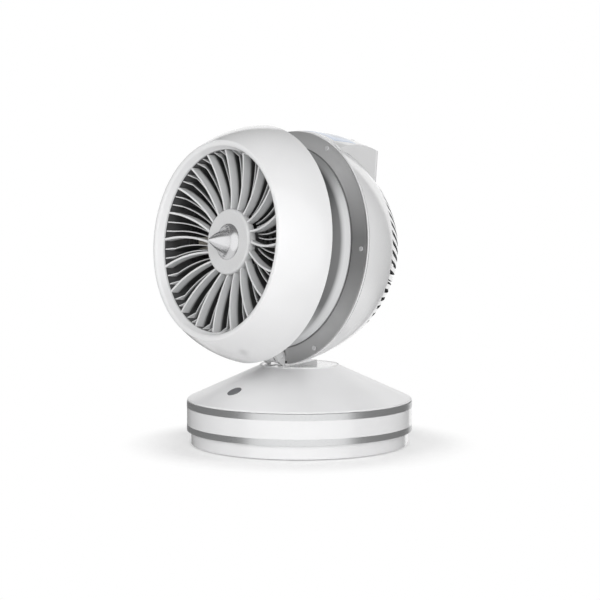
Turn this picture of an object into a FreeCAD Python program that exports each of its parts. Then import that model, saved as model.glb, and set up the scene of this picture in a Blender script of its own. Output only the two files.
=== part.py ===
import FreeCAD, Part
import math
import os
import Sketcher

# Turbine-styled oscillating table fan with a heater behind its outlet vanes.
# Millimetres, +Z up, origin on the table under the middle of the base, front towards -Y.
# Head pieces are drawn in the head's own frame: X to the right, Y up, Z forward along the airflow.

SIZES = [
    # Foot that stays still on the table
    ("foot_inset", 4.8, "step in from the drum to the foot"),
    ("over", 1.0, "reach of a cutting shape past what it cuts"),
    ("foot_top", 15.8, "height of the foot's rim"),
    ("foot_wall", 3.0, "wall of the foot"),
    ("foot_clear", 1.2, "height of the foot's underside"),
    ("foot_floor", 3.0, "floor of the foot"),
    ("pad_radius", 8.0, "radius of a rubber foot"),
    ("pad_recess", 1.5, "depth that a rubber foot sits in the floor"),
    ("pad_inset", 19.2, "distance of the rubber feet inside the foot's edge"),
    ("pad_count", 5, "number of rubber feet"),
    ("post_radius", 14.0, "outer radius of the pivot post"),
    ("post_bore", 9.0, "bore of the pivot post for the wiring"),
    ("post_top", 33.0, "top of the pivot post"),
    ("post_flange_radius", 24.0, "flange of the pivot post"),
    ("post_flange", 3.0, "thickness of that flange"),
    ("post_screw_circle", 19.0, "circle of the screws in that flange"),
    ("gear_teeth", 80, "teeth of the fixed swing gear"),
    ("gear_module", 1.0, "module of the swing gears"),
    ("gear_width", 6.0, "face width of the swing gear"),
    ("gear_backlash", 0.3, "backlash at the pitch line"),
    ("gear_addendum", 0.95, "height of a tooth's tip above the pitch circle, in modules"),
    ("gear_dedendum", 1.3, "depth of the gears' blanks below the pitch circle, in modules"),
    ("gear_root", 1.8, "depth of a tooth's foot below the pitch circle, in modules"),
    ("gear_pressure", 20.0, "pressure angle of the teeth, degrees"),
    ("pinion_teeth", 16, "teeth of the drive pinion"),
    ("pinion_width", 5.0, "face width of the drive pinion"),
    ("glide_inner", 96.0, "inner radius of the glide ring"),
    ("glide_outer", 102.0, "outer radius of the glide ring"),
    ("gland_radius", 4.2, "outer radius of the cord gland"),
    ("gland_bore", 3.1, "bore of the cord gland"),
    ("gland_height", 10.0, "height of the cord gland's axis"),
    ("gland_rim", 1.4, "width of the cord gland's inner rim"),
    ("case_screw_radius", 1.4, "radius of the screws in the foot and the base"),
    ("case_screw_head_radius", 2.8, "radius of those screws' heads"),
    ("case_screw_head", 1.8, "height of the foot screws' heads"),
    ("case_screw_bite", 2.4, "length of a foot screw inside the pivot post"),
    ("base_screw_head", 0.8, "height of the base screws' heads"),
    ("base_screw_bite", 9.0, "length of a base screw inside its boss"),
    ("gland_inside", 4.5, "length of the cord gland inside the foot's wall"),
    ("gland_outside", 7.0, "length of the cord gland outside the foot"),
    # Round base that turns on the foot
    ("drum_radius", 130.0, "radius of the white drum"),
    ("drum_wall", 3.0, "wall of the drum behind its trim bands"),
    ("band_thickness", 2.0, "thickness of the silver trim bands"),
    ("band_low_bottom", 16.5, "underside of the lower trim band"),
    ("band_low_top", 23.5, "top of the lower trim band"),
    ("drum_top", 43.3, "underside of the upper trim band"),
    ("band_high_top", 50.4, "top of the upper trim band"),
    ("boss_radius", 5.0, "radius of the drum's screw bosses"),
    ("boss_height", 20.0, "height of the drum's screw bosses"),
    ("cone_gap", 0.8, "shadow gap under the cone"),
    ("cone_gap_depth", 1.5, "depth of that gap"),
    ("cone_inset", 0.4, "step in from the drum to the cone's edge"),
    ("shoulder_round", 2.2, "round of the cone's shoulder"),
    ("shoulder_inset", 2.0, "distance of the cone's straight side inside the drum"),
    ("shoulder_rise", 1.8, "height of the shoulder above the cone's edge"),
    ("cone_top", 90.0, "height of the cone's top edge"),
    ("collar_radius", 46.0, "radius of the cone's top edge"),
    ("collar_width", 2.0, "width of the collar on the cone's top"),
    ("collar_lip", 1.2, "height of the collar above the cone's top edge"),
    ("cover_wall", 2.5, "wall of the cone"),
    ("spigot_depth", 5.0, "depth that the cone's spigot enters the drum"),
    ("plate_bottom", 17.0, "underside of the turntable plate"),
    ("plate_thickness", 2.5, "thickness of the turntable plate"),
    ("bush_radius", 18.0, "outer radius of the turntable bush"),
    ("bush_lip", 2.5, "width of the bush's lip"),
    ("bush_lip_height", 2.0, "height of the bush's lip"),
    ("bush_low", 15.0, "underside of the turntable bush"),
    ("bush_top", 27.0, "top of the turntable bush"),
    ("nut_radius", 20.0, "radius of the ring nut on the pivot post"),
    ("motor_can_radius", 18.0, "radius of the swing motor"),
    ("motor_can_height", 22.0, "height of the swing motor"),
    ("motor_hole_room", 2.0, "room round the swing motor's shaft in the plate"),
    ("motor_boss_wall", 1.8, "wall of the swing motor's boss"),
    ("motor_boss_rise", 0.5, "height of the boss above the plate's underside"),
    ("motor_bore", 8.0, "depth of the shaft's bore above the plate"),
    ("motor_room", 0.5, "room beside and under the swing motor"),
    ("motor_headroom", 1.5, "room above the swing motor"),
    ("motor_bearing_angle", 150.0, "direction of the swing motor round the post"),
    ("pinion_shaft", 2.5, "radius of the swing motor's shaft"),
    ("pinion_stem", 7.0, "reach of the pinion's stem above the plate"),
    ("board_width", 76.0, "width of the power board"),
    ("board_depth", 42.0, "depth of the power board"),
    ("board_thickness", 1.6, "thickness of the circuit boards"),
    ("board_rise", 6.0, "height of the power board above the plate"),
    ("board_back", 50.0, "distance of the power board behind the post"),
    ("relay_height", 15.0, "height of the power board's relays"),
    ("window_radius", 97.0, "distance of the remote window from the middle"),
    ("window_width", 15.4, "width of the remote window"),
    ("window_height", 17.0, "length of the remote window up the cone"),
    ("window_depth", 6.0, "depth of the remote window's light guide"),
    ("window_proud", 0.3, "height of the remote window above the cone"),
    # Neck and tilt hinge
    ("neck_bore", 24.0, "inner radius of the neck post"),
    ("neck_radius", 27.5, "outer radius of the neck post"),
    ("neck_foot", 6.0, "width of the neck post's foot"),
    ("neck_flange_radius", 38.0, "flange on the neck post"),
    ("neck_flange", 3.0, "thickness of the neck flange"),
    ("yoke_plate", 2.5, "thickness of the yoke's round plate"),
    ("yoke_sink", 0.2, "depth of the yoke's plate below the collar"),
    ("yoke_gap", 0.4, "gap round the yoke's plate"),
    ("hinge_forward", 41.0, "distance of the tilt axis in front of the middle"),
    ("hinge_rise", 12.0, "height of the tilt axis above the yoke's plate"),
    ("pin_radius", 3.0, "radius of the hinge pin"),
    ("barrel_radius", 7.0, "radius of the hinge knuckles"),
    ("knuckle_half", 8.9, "half the width of the head's knuckle"),
    ("washer_thickness", 0.5, "thickness of a friction washer"),
    ("washer_radius", 6.4, "outer radius of a friction washer"),
    ("lug_thickness", 5.0, "thickness of a yoke lug"),
    ("arm_depth", 9.0, "depth of the arm that carries the head"),
    ("arm_sink", 6.0, "reach of the arm above the duct's underside, before it is cut to fit"),
    ("arm_taper", 1.5, "lean of the arm's back"),
    ("saddle_gap", 0.1, "gap between the arm's saddle and the duct"),
    ("lug_relief", 1.5, "lean of a lug's rear edge, for the stem's plate to tilt past"),
    ("lug_sink", 1.0, "depth of a lug's foot in the yoke's plate"),
    ("lug_foot", 0.6, "height of a lug's foot above the plate"),
    ("lug_lift", 0.8, "gap between the lugs and the collar's lip"),
    ("lug_inset", 3.0, "distance of the lugs' feet from the yoke's edge"),
    ("lug_hole_lift", 0.4, "height of the lugs' windows above that gap"),
    ("pin_inset", 0.5, "depth of the hinge pin's ends in the lugs"),
    ("lug_hole_width", 8.0, "width of the three-cornered hole in a lug"),
    ("lug_hole_height", 5.5, "height of the three-cornered hole in a lug"),
    ("pedestal_half", 15.0, "half the width of the pedestal behind the hinge"),
    ("pedestal_front", 27.0, "distance of the pedestal's front in front of the middle"),
    ("pedestal_back", 14.0, "distance of the pedestal's back behind the middle"),
    ("pedestal_low", 0.6, "height of the pedestal at its front"),
    ("pedestal_high", 5.2, "height of the pedestal at its back"),
    ("shoulder_thickness", 3.6, "thickness of the stem's plate in the flange's notch"),
    ("shoulder_reach", 128.5, "radius that the stem's plate reaches down to"),
    ("bridge_inset", 2.0, "distance of the bridge from the shoulder's lower edge"),
    ("bridge_front", 26.0, "front of the bridge from that plate to the knuckle"),
    ("shoulder_fit", 0.4, "gap between the stem's plate and the flange's notch"),
    # Head
    ("head_clear", 2.606, "clearance between the dome and the neck's collar"),
    ("head_tilt", 5.0, "upward tilt of the head at rest, degrees"),
    ("cowl_round", 135.8, "radius of the cowl's outer curve"),
    ("cowl_rear", 73.8, "rear edge of the cowl"),
    ("cowl_rear_radius", 132.8, "radius of the cowl's rear edge"),
    ("lip_front", 127.2, "front of the cowl's lip"),
    ("lip_radius", 109.4, "radius where the outer curve meets the lip"),
    ("lip_round", 4.6, "round of the lip"),
    ("lip_inner_drop", 1.5, "step back across the lip's round"),
    ("lip_inner_step", 6.0, "width of the lip's round"),
    ("lip_under", 0.9, "inset of the cowl's inner curve from the lip"),
    ("opening_radius", 100.2, "radius of the outlet opening"),
    ("opening_front", 119.7, "front edge of the outlet opening"),
    ("opening_edge", 2.0, "depth of the opening's edge in front of the vane ring"),
    ("cowl_wall", 2.5, "wall of the cowl"),
    ("cowl_throat_rear", 86.0, "rear end of the cowl's inner wall"),
    ("cover_thickness", 2.0, "thickness of the cowl's rear cover"),
    ("cover_chamfer", 0.8, "slope of the rear cover's edge"),
    ("cover_inset", 1.0, "gap between that cover's edge and the cowl"),
    ("cover_edge", 3.0, "depth of that cover's edge inside the cowl"),
    ("duct_gap", 0.8, "gap between the duct and the cowl's inner wall"),
    ("duct_wall", 2.4, "wall of the inner duct"),
    ("duct_rim_radius", 114.5, "radius of the duct's flared rim"),
    ("duct_rim_front", 29.7, "front of the duct's flared rim"),
    ("duct_flare", 45.0, "radius of the duct's flare"),
    ("flange_radius", 132.5, "outer radius of the silver flange"),
    ("flange_bore", 104.0, "bore of the silver flange"),
    ("flange_flat", 115.2, "radius where the flange starts to slope"),
    ("flange_front", 28.5, "front face of the flange's flat part"),
    ("flange_edge_front", 23.6, "front of the flange's outer edge"),
    ("flange_thickness", 2.2, "thickness of the flange"),
    ("seat_gap", 0.05, "gap between pieces of the head that seat on each other"),
    ("notch_half", 18.0, "half the width of the flange's notch for the neck"),
    ("notch_radius", 116.0, "radius where that notch starts"),
    ("screw_inset", 5.0, "distance of the flange screws inside the flange's edge"),
    ("screw_radius", 1.5, "radius of the flange screws"),
    ("screw_room", 0.15, "gap round a flange screw's shank in the flange"),
    ("screw_boss_wall", 1.6, "wall of a screw boss in the dome"),
    ("screw_head_radius", 2.6, "radius of the flange screws' heads"),
    ("screw_head", 1.0, "height of the flange screws' heads"),
    ("screw_length", 12.0, "length of the flange screws"),
    ("screw_count", 6, "number of flange screws"),
    ("seam_width", 2.8, "width of the white seam ring"),
    ("seam_proud", 0.5, "how far the seam ring stands past the flange"),
    ("seam_thickness", 1.8, "thickness of the white seam ring"),
    ("seam_gap", 1.2, "dark gap behind the seam ring"),
    ("dome_inset", 0.3, "step in from the flange to the dome's front edge"),
    ("dome_round", 186.4, "radius of the dome's long curve"),
    ("dome_shoulder", 70.0, "radius where the dome's back starts"),
    ("dome_shoulder_back", 89.0, "distance of that shoulder behind the centre"),
    ("dome_back", 103.0, "distance of the dome's back behind the centre"),
    ("dome_cap_round", 190.0, "radius of the dome's back"),
    ("dome_wall", 2.5, "wall of the dome"),
    ("dome_rebate", 5.0, "depth of the screw bosses' face behind the dome's edge"),
    ("slot_count", 63, "number of places for intake slots round the dome"),
    ("slot_inner", 38.0, "inner radius of the intake slots"),
    ("slot_outer", 111.0, "outer radius of the intake slots"),
    ("slot_width_inner", 1.8, "width of an intake slot at its inner end"),
    ("slot_width_outer", 6.0, "width of an intake slot at its outer end"),
    ("slot_sweep", 28.5, "sideways sweep of an intake slot"),
    ("slot_bow", 123.0, "radius of an intake slot's bow"),
    ("slot_short_count", 15, "number of short slots behind the control pod"),
    ("slot_short", 81.0, "outer radius of the short slots"),
    ("slot_short_sweep", 11.5, "sideways sweep of a short slot"),
    ("slot_short_width", 4.4, "width of a short slot at its outer end"),
    ("slot_shift", 7.1, "turn of the short slots away from the top, degrees"),
    # Outlet
    ("vane_count", 20, "number of broad outlet vanes"),
    ("vane_thickness", 2.4, "thickness of a broad vane"),
    ("vane_bow", 119.0, "radius of a vane's bow"),
    ("vane_lean", 2.1, "sideways lean of a vane at the hub"),
    ("vane_rim_fit", 0.3, "gap between the vane ring and the cowl"),
    ("vane_rim_wall", 2.0, "wall of the vane ring's rim"),
    ("vane_front_rim", 118.6, "front of a broad vane at the rim"),
    ("vane_front_hub", 104.0, "front of a broad vane at the hub"),
    ("vane_rear_rim", 105.0, "rear of a broad vane at the rim"),
    ("vane_rear_hub", 95.0, "rear of a broad vane at the hub"),
    ("vane_root", 1.5, "depth that a broad vane runs into the rim and the hub"),
    ("fine_thickness", 1.2, "thickness of a fine vane"),
    ("fine_front_rim", 117.0, "front of a fine vane's hooked end"),
    ("fine_front_bend", 106.5, "front of a fine vane inside its hooked end"),
    ("fine_hook", 6.0, "length of a fine vane's hooked end"),
    ("fine_front_hub", 93.0, "front of a fine vane at the hub"),
    ("fine_rear", 79.8, "rear of the fine grille"),
    ("fine_ring_depth", 4.2, "depth of the fine grille's rings"),
    ("fine_hub_gap", 0.8, "gap between the fine vanes and the hub disc"),
    ("fine_rim_wall", 2.6, "width of the fine grille's outer ring inside the opening"),
    ("fine_hub_wall", 4.0, "width of the fine grille's inner ring below the vanes"),
    ("fine_hub_lap", 1.5, "width of the fine grille's inner ring under the vanes"),
    ("stack_gap", 0.2, "gap between the stacked outlet pieces"),
    ("hub_radius", 36.3, "radius of the hub disc"),
    ("hub_front", 107.1, "front of the hub disc"),
    ("hub_round", 2.6, "round of the hub disc's edge"),
    ("hub_dish", 0.9, "dish of the hub disc"),
    ("hub_wall", 2.2, "wall of the hub disc"),
    ("hub_skirt_rear", 100.0, "rear of the hub disc's skirt"),
    ("hub_ring_lap", 2.0, "reach of the vane ring's hub into the hub disc"),
    ("hub_dish_rim", 2.0, "width of the hub disc's dish round the nose cone"),
    ("hub_ring_wall", 4.0, "wall of the vane ring's hub"),
    ("nose_radius", 20.0, "radius of the nose cone's flared foot"),
    ("nose_waist", 13.6, "radius of the nose cone above its foot"),
    ("nose_waist_front", 112.4, "front of the nose cone's flared foot"),
    ("nose_flare", 12.0, "radius of the nose cone's flare"),
    ("nose_tip", 133.8, "front of the nose cone"),
    ("nose_edge", 0.5, "height of the nose cone's edge"),
    ("nose_point", 0.6, "radius of the nose cone's blunt tip"),
    ("nose_point_depth", 0.4, "height of the nose cone's blunt tip"),
    ("nose_bulge", 120.0, "radius of the nose cone's side"),
    # Fan, motor and heater inside the head
    ("shroud_bore", 94.0, "bore of the fan shroud"),
    ("shroud_wall", 2.4, "wall of the fan shroud"),
    ("shroud_gap", 0.1, "gap between the fan shroud and the flange"),
    ("shroud_rear", 34.0, "distance of the shroud's rear behind the centre"),
    ("shroud_flare", 6.0, "flare of the shroud's mouth"),
    ("shroud_flange", 1.8, "thickness of the shroud's front flange"),
    ("impeller_radius", 90.0, "radius of the impeller's blades"),
    ("impeller_hub", 30.0, "radius of the impeller's hub"),
    ("impeller_rear", 28.0, "distance of the impeller's rear behind the centre"),
    ("impeller_depth", 28.0, "depth of the impeller's hub"),
    ("impeller_wall", 2.5, "wall of the impeller's hub"),
    ("impeller_slant", 8.0, "slanted edge of the impeller's hub"),
    ("impeller_boss", 4.0, "wall of the impeller's boss on the shaft"),
    ("blade_count", 9, "number of impeller blades"),
    ("blade_thickness", 2.2, "thickness of an impeller blade"),
    ("shaft_radius", 4.0, "radius of the motor shaft"),
    ("shaft_fit", 0.05, "running clearance of shafts and pins"),
    ("motor_radius", 31.0, "radius of the fan motor"),
    ("motor_rear", 6.0, "rear of the fan motor"),
    ("motor_front", 46.0, "front of the fan motor"),
    ("motor_wall", 2.2, "wall of the fan motor's case"),
    ("bearing_radius", 9.0, "outer radius of the shaft bearings"),
    ("bearing_width", 5.0, "width of the shaft bearings"),
    ("stator_inner", 23.0, "inner radius of the stator"),
    ("stator_depth", 20.0, "depth of the stator"),
    ("rotor_gap", 0.7, "air gap round the rotor"),
    ("spider_rear", 10.0, "rear of the motor spider"),
    ("spider_depth", 12.0, "depth of the motor spider"),
    ("spider_ring", 2.4, "wall of the motor spider's rings"),
    ("spider_arms", 5, "number of the motor spider's arms"),
    ("spider_arm_width", 5.0, "width of a motor spider's arm"),
    ("heater_depth", 18.0, "depth of the heater frame"),
    ("heater_inner", 40.0, "inner radius of the heater frame"),
    ("heater_ring", 2.5, "wall of the heater frame's rings"),
    ("heater_fit", 0.3, "gap between the heater frame and the duct"),
    ("heater_blocks", 6, "number of heating blocks"),
    ("heater_block_width", 14.0, "width of a heating block"),
    ("cutout_size", 8.0, "size of the thermal cut-out"),
    # Control pod on top of the head
    ("pod_front", 16.4, "front of the control pod"),
    ("pod_back", 77.0, "distance of the pod's back behind the centre"),
    ("pod_half_front", 76.0, "half the pod's width at its front"),
    ("pod_half_back", 45.0, "half the pod's width at its back"),
    ("pod_rise", 1.8, "height of the pod's front above the dome's edge"),
    ("pod_drop", 6.0, "fall of the pod's top from its front to its back"),
    ("pod_plan_round", 8.0, "round of the pod's upright back edges"),
    ("pod_top_round", 260.0, "radius of the pod's top along its length"),
    ("pod_corner", 6.0, "round of the pod's back edge"),
    ("pod_over", 5.0, "reach of the pod's outline past its front"),
    ("pod_clear", 20.0, "height of the cutting shapes above the pod"),
    ("pod_wall", 3.0, "wall of the control pod"),
    ("pod_angle", 84.0, "angle of the pod's curved blank, degrees"),
    ("pod_cavity_angle", 37.0, "angle of the pod's cavity, degrees"),
    ("pod_cavity_front", 24.0, "distance of the cavity's front behind the centre"),
    ("pod_fit", 0.1, "gap between the pod and the dome"),
    ("window_front", 11.0, "front of the display window"),
    ("window_back", 21.0, "distance of the window's back behind the centre"),
    ("window_angle", 52.0, "angle of the display window, degrees"),
    ("window_end_fit", 0.2, "gap at the display window's ends, degrees"),
    ("window_sink", 1.4, "depth of the display window's underside below its thickness"),
    ("window_thickness", 1.5, "thickness of the display window"),
    ("window_raise", 0.25, "height of the display window above the pod"),
    ("window_fit", 0.15, "gap round the display window"),
    ("button_count", 5, "number of push buttons"),
    ("button_radius", 4.6, "radius of a push button"),
    ("button_fit", 0.3, "gap round a push button"),
    ("button_pitch", 13.5, "spacing of the push buttons"),
    ("button_back", 44.0, "distance of the buttons behind the centre"),
    ("button_proud", 0.4, "height of a button's edge above the pod"),
    ("button_depth", 4.0, "depth of a button's cap"),
    ("button_travel", 0.8, "travel of a push button"),
    ("switch_gap", 0.1, "gap between a pressed button's stem and its switch"),
    ("button_root", 0.5, "depth of a button's stem in its cap"),
    ("switch_width", 6.0, "width of a push switch on the control board"),
    ("switch_height", 3.5, "height of a push switch on the control board"),
    ("panel_board_drop", 16.4, "depth of the control board under the pod's front"),
    ("panel_board_half", 38.0, "half the width of the control board"),
    ("panel_board_front", 30.0, "distance of the board's front behind the centre"),
    ("panel_board_back", 60.0, "distance of the board's back behind the centre"),
    ("panel_post_radius", 3.0, "radius of the posts that carry the control board"),
    ("panel_post_inset", 5.0, "distance of the posts from the control board's ends"),
    ("panel_post_front", 4.0, "distance of the front posts from the board's front"),
    ("panel_post_back", 7.0, "distance of the rear posts from the board's back"),
    # Fits and small parts
    ("case_fit", 0.2, "gap between parts that sit in each other"),
    ("case_screw_count", 4, "number of screws in the foot and in the base"),
    ("relay_side", 16.0, "side of a relay on the power board"),
    ("relay_edge", 5.0, "distance of the relays inside the power board's edge"),
    ("capacitor_radius", 6.0, "radius of the power board's capacitor"),
    ("capacitor_edge", 9.0, "distance of the capacitor inside the power board's edge"),
    ("spacer_radius", 3.0, "radius of a spacer under the power board"),
    ("spacer_edge", 5.0, "distance of the spacers inside the power board's edge"),
]

doc = FreeCAD.newDocument("TurbineTableFan")
sheet = doc.addObject("Spreadsheet::Sheet", "Sizes")
for row, (alias, number, note) in enumerate(SIZES, start=1):
    sheet.set(f"A{row}", note)
    sheet.set(f"B{row}", str(number))
    sheet.setAlias(f"B{row}", alias)
doc.recompute()


class Size:
    """A length, angle or count, with the sheet expression that gives it."""

    def __init__(self, value, text):
        self.value = value
        self.text = text

    def __add__(self, other):
        other = as_size(other)
        return Size(self.value + other.value, f"({self.text} + {other.text})")

    def __radd__(self, other):
        return as_size(other) + self

    def __sub__(self, other):
        other = as_size(other)
        return Size(self.value - other.value, f"({self.text} - {other.text})")

    def __rsub__(self, other):
        return as_size(other) - self

    def __mul__(self, other):
        other = as_size(other)
        return Size(self.value * other.value, f"({self.text} * {other.text})")

    def __rmul__(self, other):
        return as_size(other) * self

    def __truediv__(self, other):
        other = as_size(other)
        return Size(self.value / other.value, f"({self.text} / {other.text})")

    def __rtruediv__(self, other):
        return as_size(other) / self

    def __neg__(self):
        return Size(-self.value, f"(0 - {self.text})")


def as_size(item):
    if isinstance(item, Size):
        return item
    return Size(float(item), repr(float(item)))


def root(item):
    return Size(math.sqrt(item.value), f"sqrt({item.text})")


def cosine(angle):
    return Size(math.cos(math.radians(angle.value)), f"cos({angle.text})")


def sine(angle):
    return Size(math.sin(math.radians(angle.value)), f"sin({angle.text})")


class Sheet:
    """Every driving size by name."""


s = Sheet()
for alias, number, note in SIZES:
    setattr(s, alias, Size(float(sheet.get(alias)), f"Sizes.{alias}"))

ZERO = as_size(0.0)
PARTS = []


# Drawing helpers

def bind(thing, path, item):
    thing.setExpression(path, as_size(item).text)


def new_body(name):
    return doc.addObject("PartDesign::Body", name)


def new_sketch(body, plane, name="Outline"):
    sketch = body.newObject("Sketcher::SketchObject", name)
    planes = {item.Role: item for item in body.Origin.OriginFeatures}
    sketch.AttachmentSupport = (planes[plane], [""])
    sketch.MapMode = "FlatFace"
    return sketch


def lift(sketch, height=ZERO, turn=None):
    """Moves a sketch off its plane, and turns it about the plane's normal."""
    angle = 0.0 if turn is None else turn.value
    rotation = FreeCAD.Rotation(FreeCAD.Vector(0, 0, 1), angle)
    sketch.AttachmentOffset = FreeCAD.Placement(FreeCAD.Vector(0, 0, height.value), rotation)
    bind(sketch, "AttachmentOffset.Base.z", height)
    if turn is not None:
        bind(sketch, "AttachmentOffset.Rotation.Angle", turn)


def pin_point(sketch, geometry, end, x, y):
    for kind, axis, item in (("DistanceX", -2, x), ("DistanceY", -1, y)):
        item = as_size(item)
        if item is ZERO or item.text == "0.0":
            sketch.addConstraint(Sketcher.Constraint("PointOnObject", geometry, end, axis))
            continue
        number = sketch.addConstraint(Sketcher.Constraint(kind, -1, 1, geometry, end, item.value))
        bind(sketch, f"Constraints[{number}]", item)


def bind_radius(sketch, geometry, radius):
    radius = as_size(radius)
    number = sketch.addConstraint(Sketcher.Constraint("Radius", geometry, radius.value))
    bind(sketch, f"Constraints[{number}]", radius)


def arc_between(start, stop, radius, left):
    """Shorter arc from start to stop, bulging to the left or right of that way."""
    chord = stop.sub(start)
    half = chord.Length / 2
    reach = math.sqrt(max(radius * radius - half * half, 0.0))
    side = FreeCAD.Vector(-chord.y, chord.x, 0).normalize()
    centre = start.add(chord.multiply(0.5)).sub(side.multiply(reach if left else -reach))
    first, last = (stop, start) if left else (start, stop)
    angles = [math.atan2(point.y - centre.y, point.x - centre.x) for point in (first, last)]
    circle = Part.Circle(centre, FreeCAD.Vector(0, 0, 1), radius)
    return Part.ArcOfCircle(circle, angles[0], angles[1])


def draw_loop(sketch, corners):
    """Closed outline. A corner is (x, y), or (x, y, radius, left) where an arc leads on from it."""
    points = [FreeCAD.Vector(as_size(c[0]).value, as_size(c[1]).value, 0) for c in corners]
    edges = []
    for index, corner in enumerate(corners):
        start, stop = points[index], points[(index + 1) % len(points)]
        if len(corner) == 2:
            edges.append((sketch.addGeometry(Part.LineSegment(start, stop)), 1, 2))
            continue
        radius, left = as_size(corner[2]), corner[3]
        arc = sketch.addGeometry(arc_between(start, stop, radius.value, left))
        edges.append((arc, 2, 1) if left else (arc, 1, 2))
    for index, (edge, begin, end) in enumerate(edges):
        before, before_begin, before_end = edges[index - 1]
        sketch.addConstraint(Sketcher.Constraint("Coincident", before, before_end, edge, begin))
        pin_point(sketch, edge, begin, corners[index][0], corners[index][1])
    for (edge, begin, end), corner in zip(edges, corners):
        if len(corner) == 4:
            bind_radius(sketch, edge, corner[2])


def draw_circle(sketch, x, y, radius):
    middle = FreeCAD.Vector(as_size(x).value, as_size(y).value, 0)
    circle = Part.Circle(middle, FreeCAD.Vector(0, 0, 1), as_size(radius).value)
    geometry = sketch.addGeometry(circle)
    pin_point(sketch, geometry, 3, x, y)
    bind_radius(sketch, geometry, radius)


def box_corners(x0, x1, y0, y1):
    return [(x0, y0), (x1, y0), (x1, y1), (x0, y1)]


def turned(body, kind, corners, plane="XZ_Plane", angle=None):
    """Revolves an outline of (radius, height) corners about the body's Z axis."""
    sketch = new_sketch(body, plane)
    draw_loop(sketch, corners)
    feature = body.newObject(kind, "Turned")
    feature.Profile = sketch
    feature.ReferenceAxis = (sketch, ["V_Axis"])
    feature.Angle = 360.0
    if angle is not None:
        feature.Midplane = True
        feature.Angle = angle.value
        bind(feature, "Angle", angle)
    body.Tip = feature
    return feature


def padded(body, sketch, length, both_ways=False, back=False):
    pad = body.newObject("PartDesign::Pad", "Pad")
    pad.Profile = sketch
    pad.Length = as_size(length).value
    bind(pad, "Length", length)
    pad.Midplane = both_ways
    pad.Reversed = back
    body.Tip = pad
    return pad


def cut_through(body, sketch, back=False, both_ways=False):
    """Pocket through everything, and checks that it took material away."""
    doc.recompute()
    before = body.Shape.Volume
    pocket = body.newObject("PartDesign::Pocket", "Cut")
    pocket.Profile = sketch
    pocket.Type = "ThroughAll"
    pocket.Midplane = both_ways
    pocket.Reversed = back
    body.Tip = pocket
    doc.recompute()
    if not body.Shape.Volume < before:
        raise RuntimeError(f"a cut in {body.Label} took nothing away")
    return pocket


def cut_depth(body, sketch, depth):
    """Pocket that goes down from the sketch by a set depth."""
    pocket = cut_through(body, sketch)
    pocket.Type = "Length"
    pocket.Length = as_size(depth).value
    bind(pocket, "Length", depth)
    return pocket


def repeated(body, feature, sketch, count, span=None):
    """Repeats a feature round the sketch's normal, over a full turn or over a span in degrees."""
    pattern = body.newObject("PartDesign::PolarPattern", "Pattern")
    pattern.Originals = [feature]
    pattern.Axis = (sketch, ["N_Axis"])
    pattern.Angle = 360.0
    if span is not None:
        pattern.Angle = span.value
        bind(pattern, "Angle", span)
    pattern.Occurrences = int(count.value)
    bind(pattern, "Occurrences", count)
    body.Tip = pattern
    return pattern


def place(thing, x=ZERO, y=ZERO, z=ZERO):
    spot = [as_size(item) for item in (x, y, z)]
    thing.Placement = FreeCAD.Placement(FreeCAD.Vector(*[i.value for i in spot]), FreeCAD.Rotation())
    for letter, item in zip("xyz", spot):
        bind(thing, f"Placement.Base.{letter}", item)
    return thing


def to_head(thing):
    """Puts a piece drawn in the head's frame at the head's place and tilt."""
    lean = 90.0 - s.head_tilt
    rotation = FreeCAD.Rotation(FreeCAD.Vector(1, 0, 0), lean.value)
    thing.Placement = FreeCAD.Placement(FreeCAD.Vector(0, 0, head_height.value), rotation)
    bind(thing, "Placement.Base.z", head_height)
    bind(thing, "Placement.Rotation.Angle", lean)
    return thing


def cylinder(name, radius, height, x=ZERO, y=ZERO, z=ZERO):
    item = doc.addObject("Part::Cylinder", name)
    bind(item, "Radius", radius)
    bind(item, "Height", height)
    return place(item, x, y, z)


def block(name, width, depth, height, x=ZERO, y=ZERO, z=ZERO):
    item = doc.addObject("Part::Box", name)
    bind(item, "Length", width)
    bind(item, "Width", depth)
    bind(item, "Height", height)
    return place(item, x, y, z)


def cut(name, base, tool):
    item = doc.addObject("Part::Cut", name)
    item.Base = base
    item.Tool = tool
    return item


def fused(name, pieces):
    item = doc.addObject("Part::MultiFuse", name)
    item.Shapes = pieces
    return item


def grouped(name, pieces):
    item = doc.addObject("Part::Compound", name)
    item.Links = pieces
    return item


def keep(thing, label):
    """Marks a finished sub-part, whose label names its file."""
    thing.Label = label
    PARTS.append(thing)
    return thing


def round_places(count, first=0.0):
    """Unit directions of evenly spaced places round a circle."""
    whole = int(count.value)
    angles = [math.radians(first + 360.0 * index / whole) for index in range(whole)]
    return [(math.cos(angle), math.sin(angle)) for angle in angles]


# Sizes that several pieces share

fit = s.case_fit
foot_radius = s.drum_radius - s.foot_inset
pad_circle = foot_radius - s.pad_inset
floor_top = s.foot_clear + s.foot_floor
plate_top = s.plate_bottom + s.plate_thickness
drum_bore = s.drum_radius - s.band_thickness - s.drum_wall
band_bore = s.drum_radius - s.band_thickness
cone_bottom = s.band_high_top + s.cone_gap
cone_edge = s.drum_radius - s.cone_inset
shoulder_top = cone_bottom + s.shoulder_rise
shoulder_radius = s.drum_radius - s.shoulder_inset
cone_rise = (s.cone_top - shoulder_top) / (shoulder_radius - s.collar_radius)
collar_bore = s.collar_radius - s.collar_width
collar_top = s.cone_top + s.collar_lip
gear_distance = s.gear_module * (s.gear_teeth + s.pinion_teeth) / 2
gear_bottom = floor_top + s.post_flange
boss_circle = drum_bore - s.boss_radius * 0.9
yoke_top = collar_top - s.yoke_sink
yoke_bottom = yoke_top - s.yoke_plate
hinge_height = yoke_top + s.hinge_rise
lug_inner = s.knuckle_half + s.washer_thickness + 2 * s.shaft_fit
lug_outer = lug_inner + s.lug_thickness
duct_radius = s.opening_radius - s.duct_gap
duct_bore = duct_radius - s.duct_wall
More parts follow.
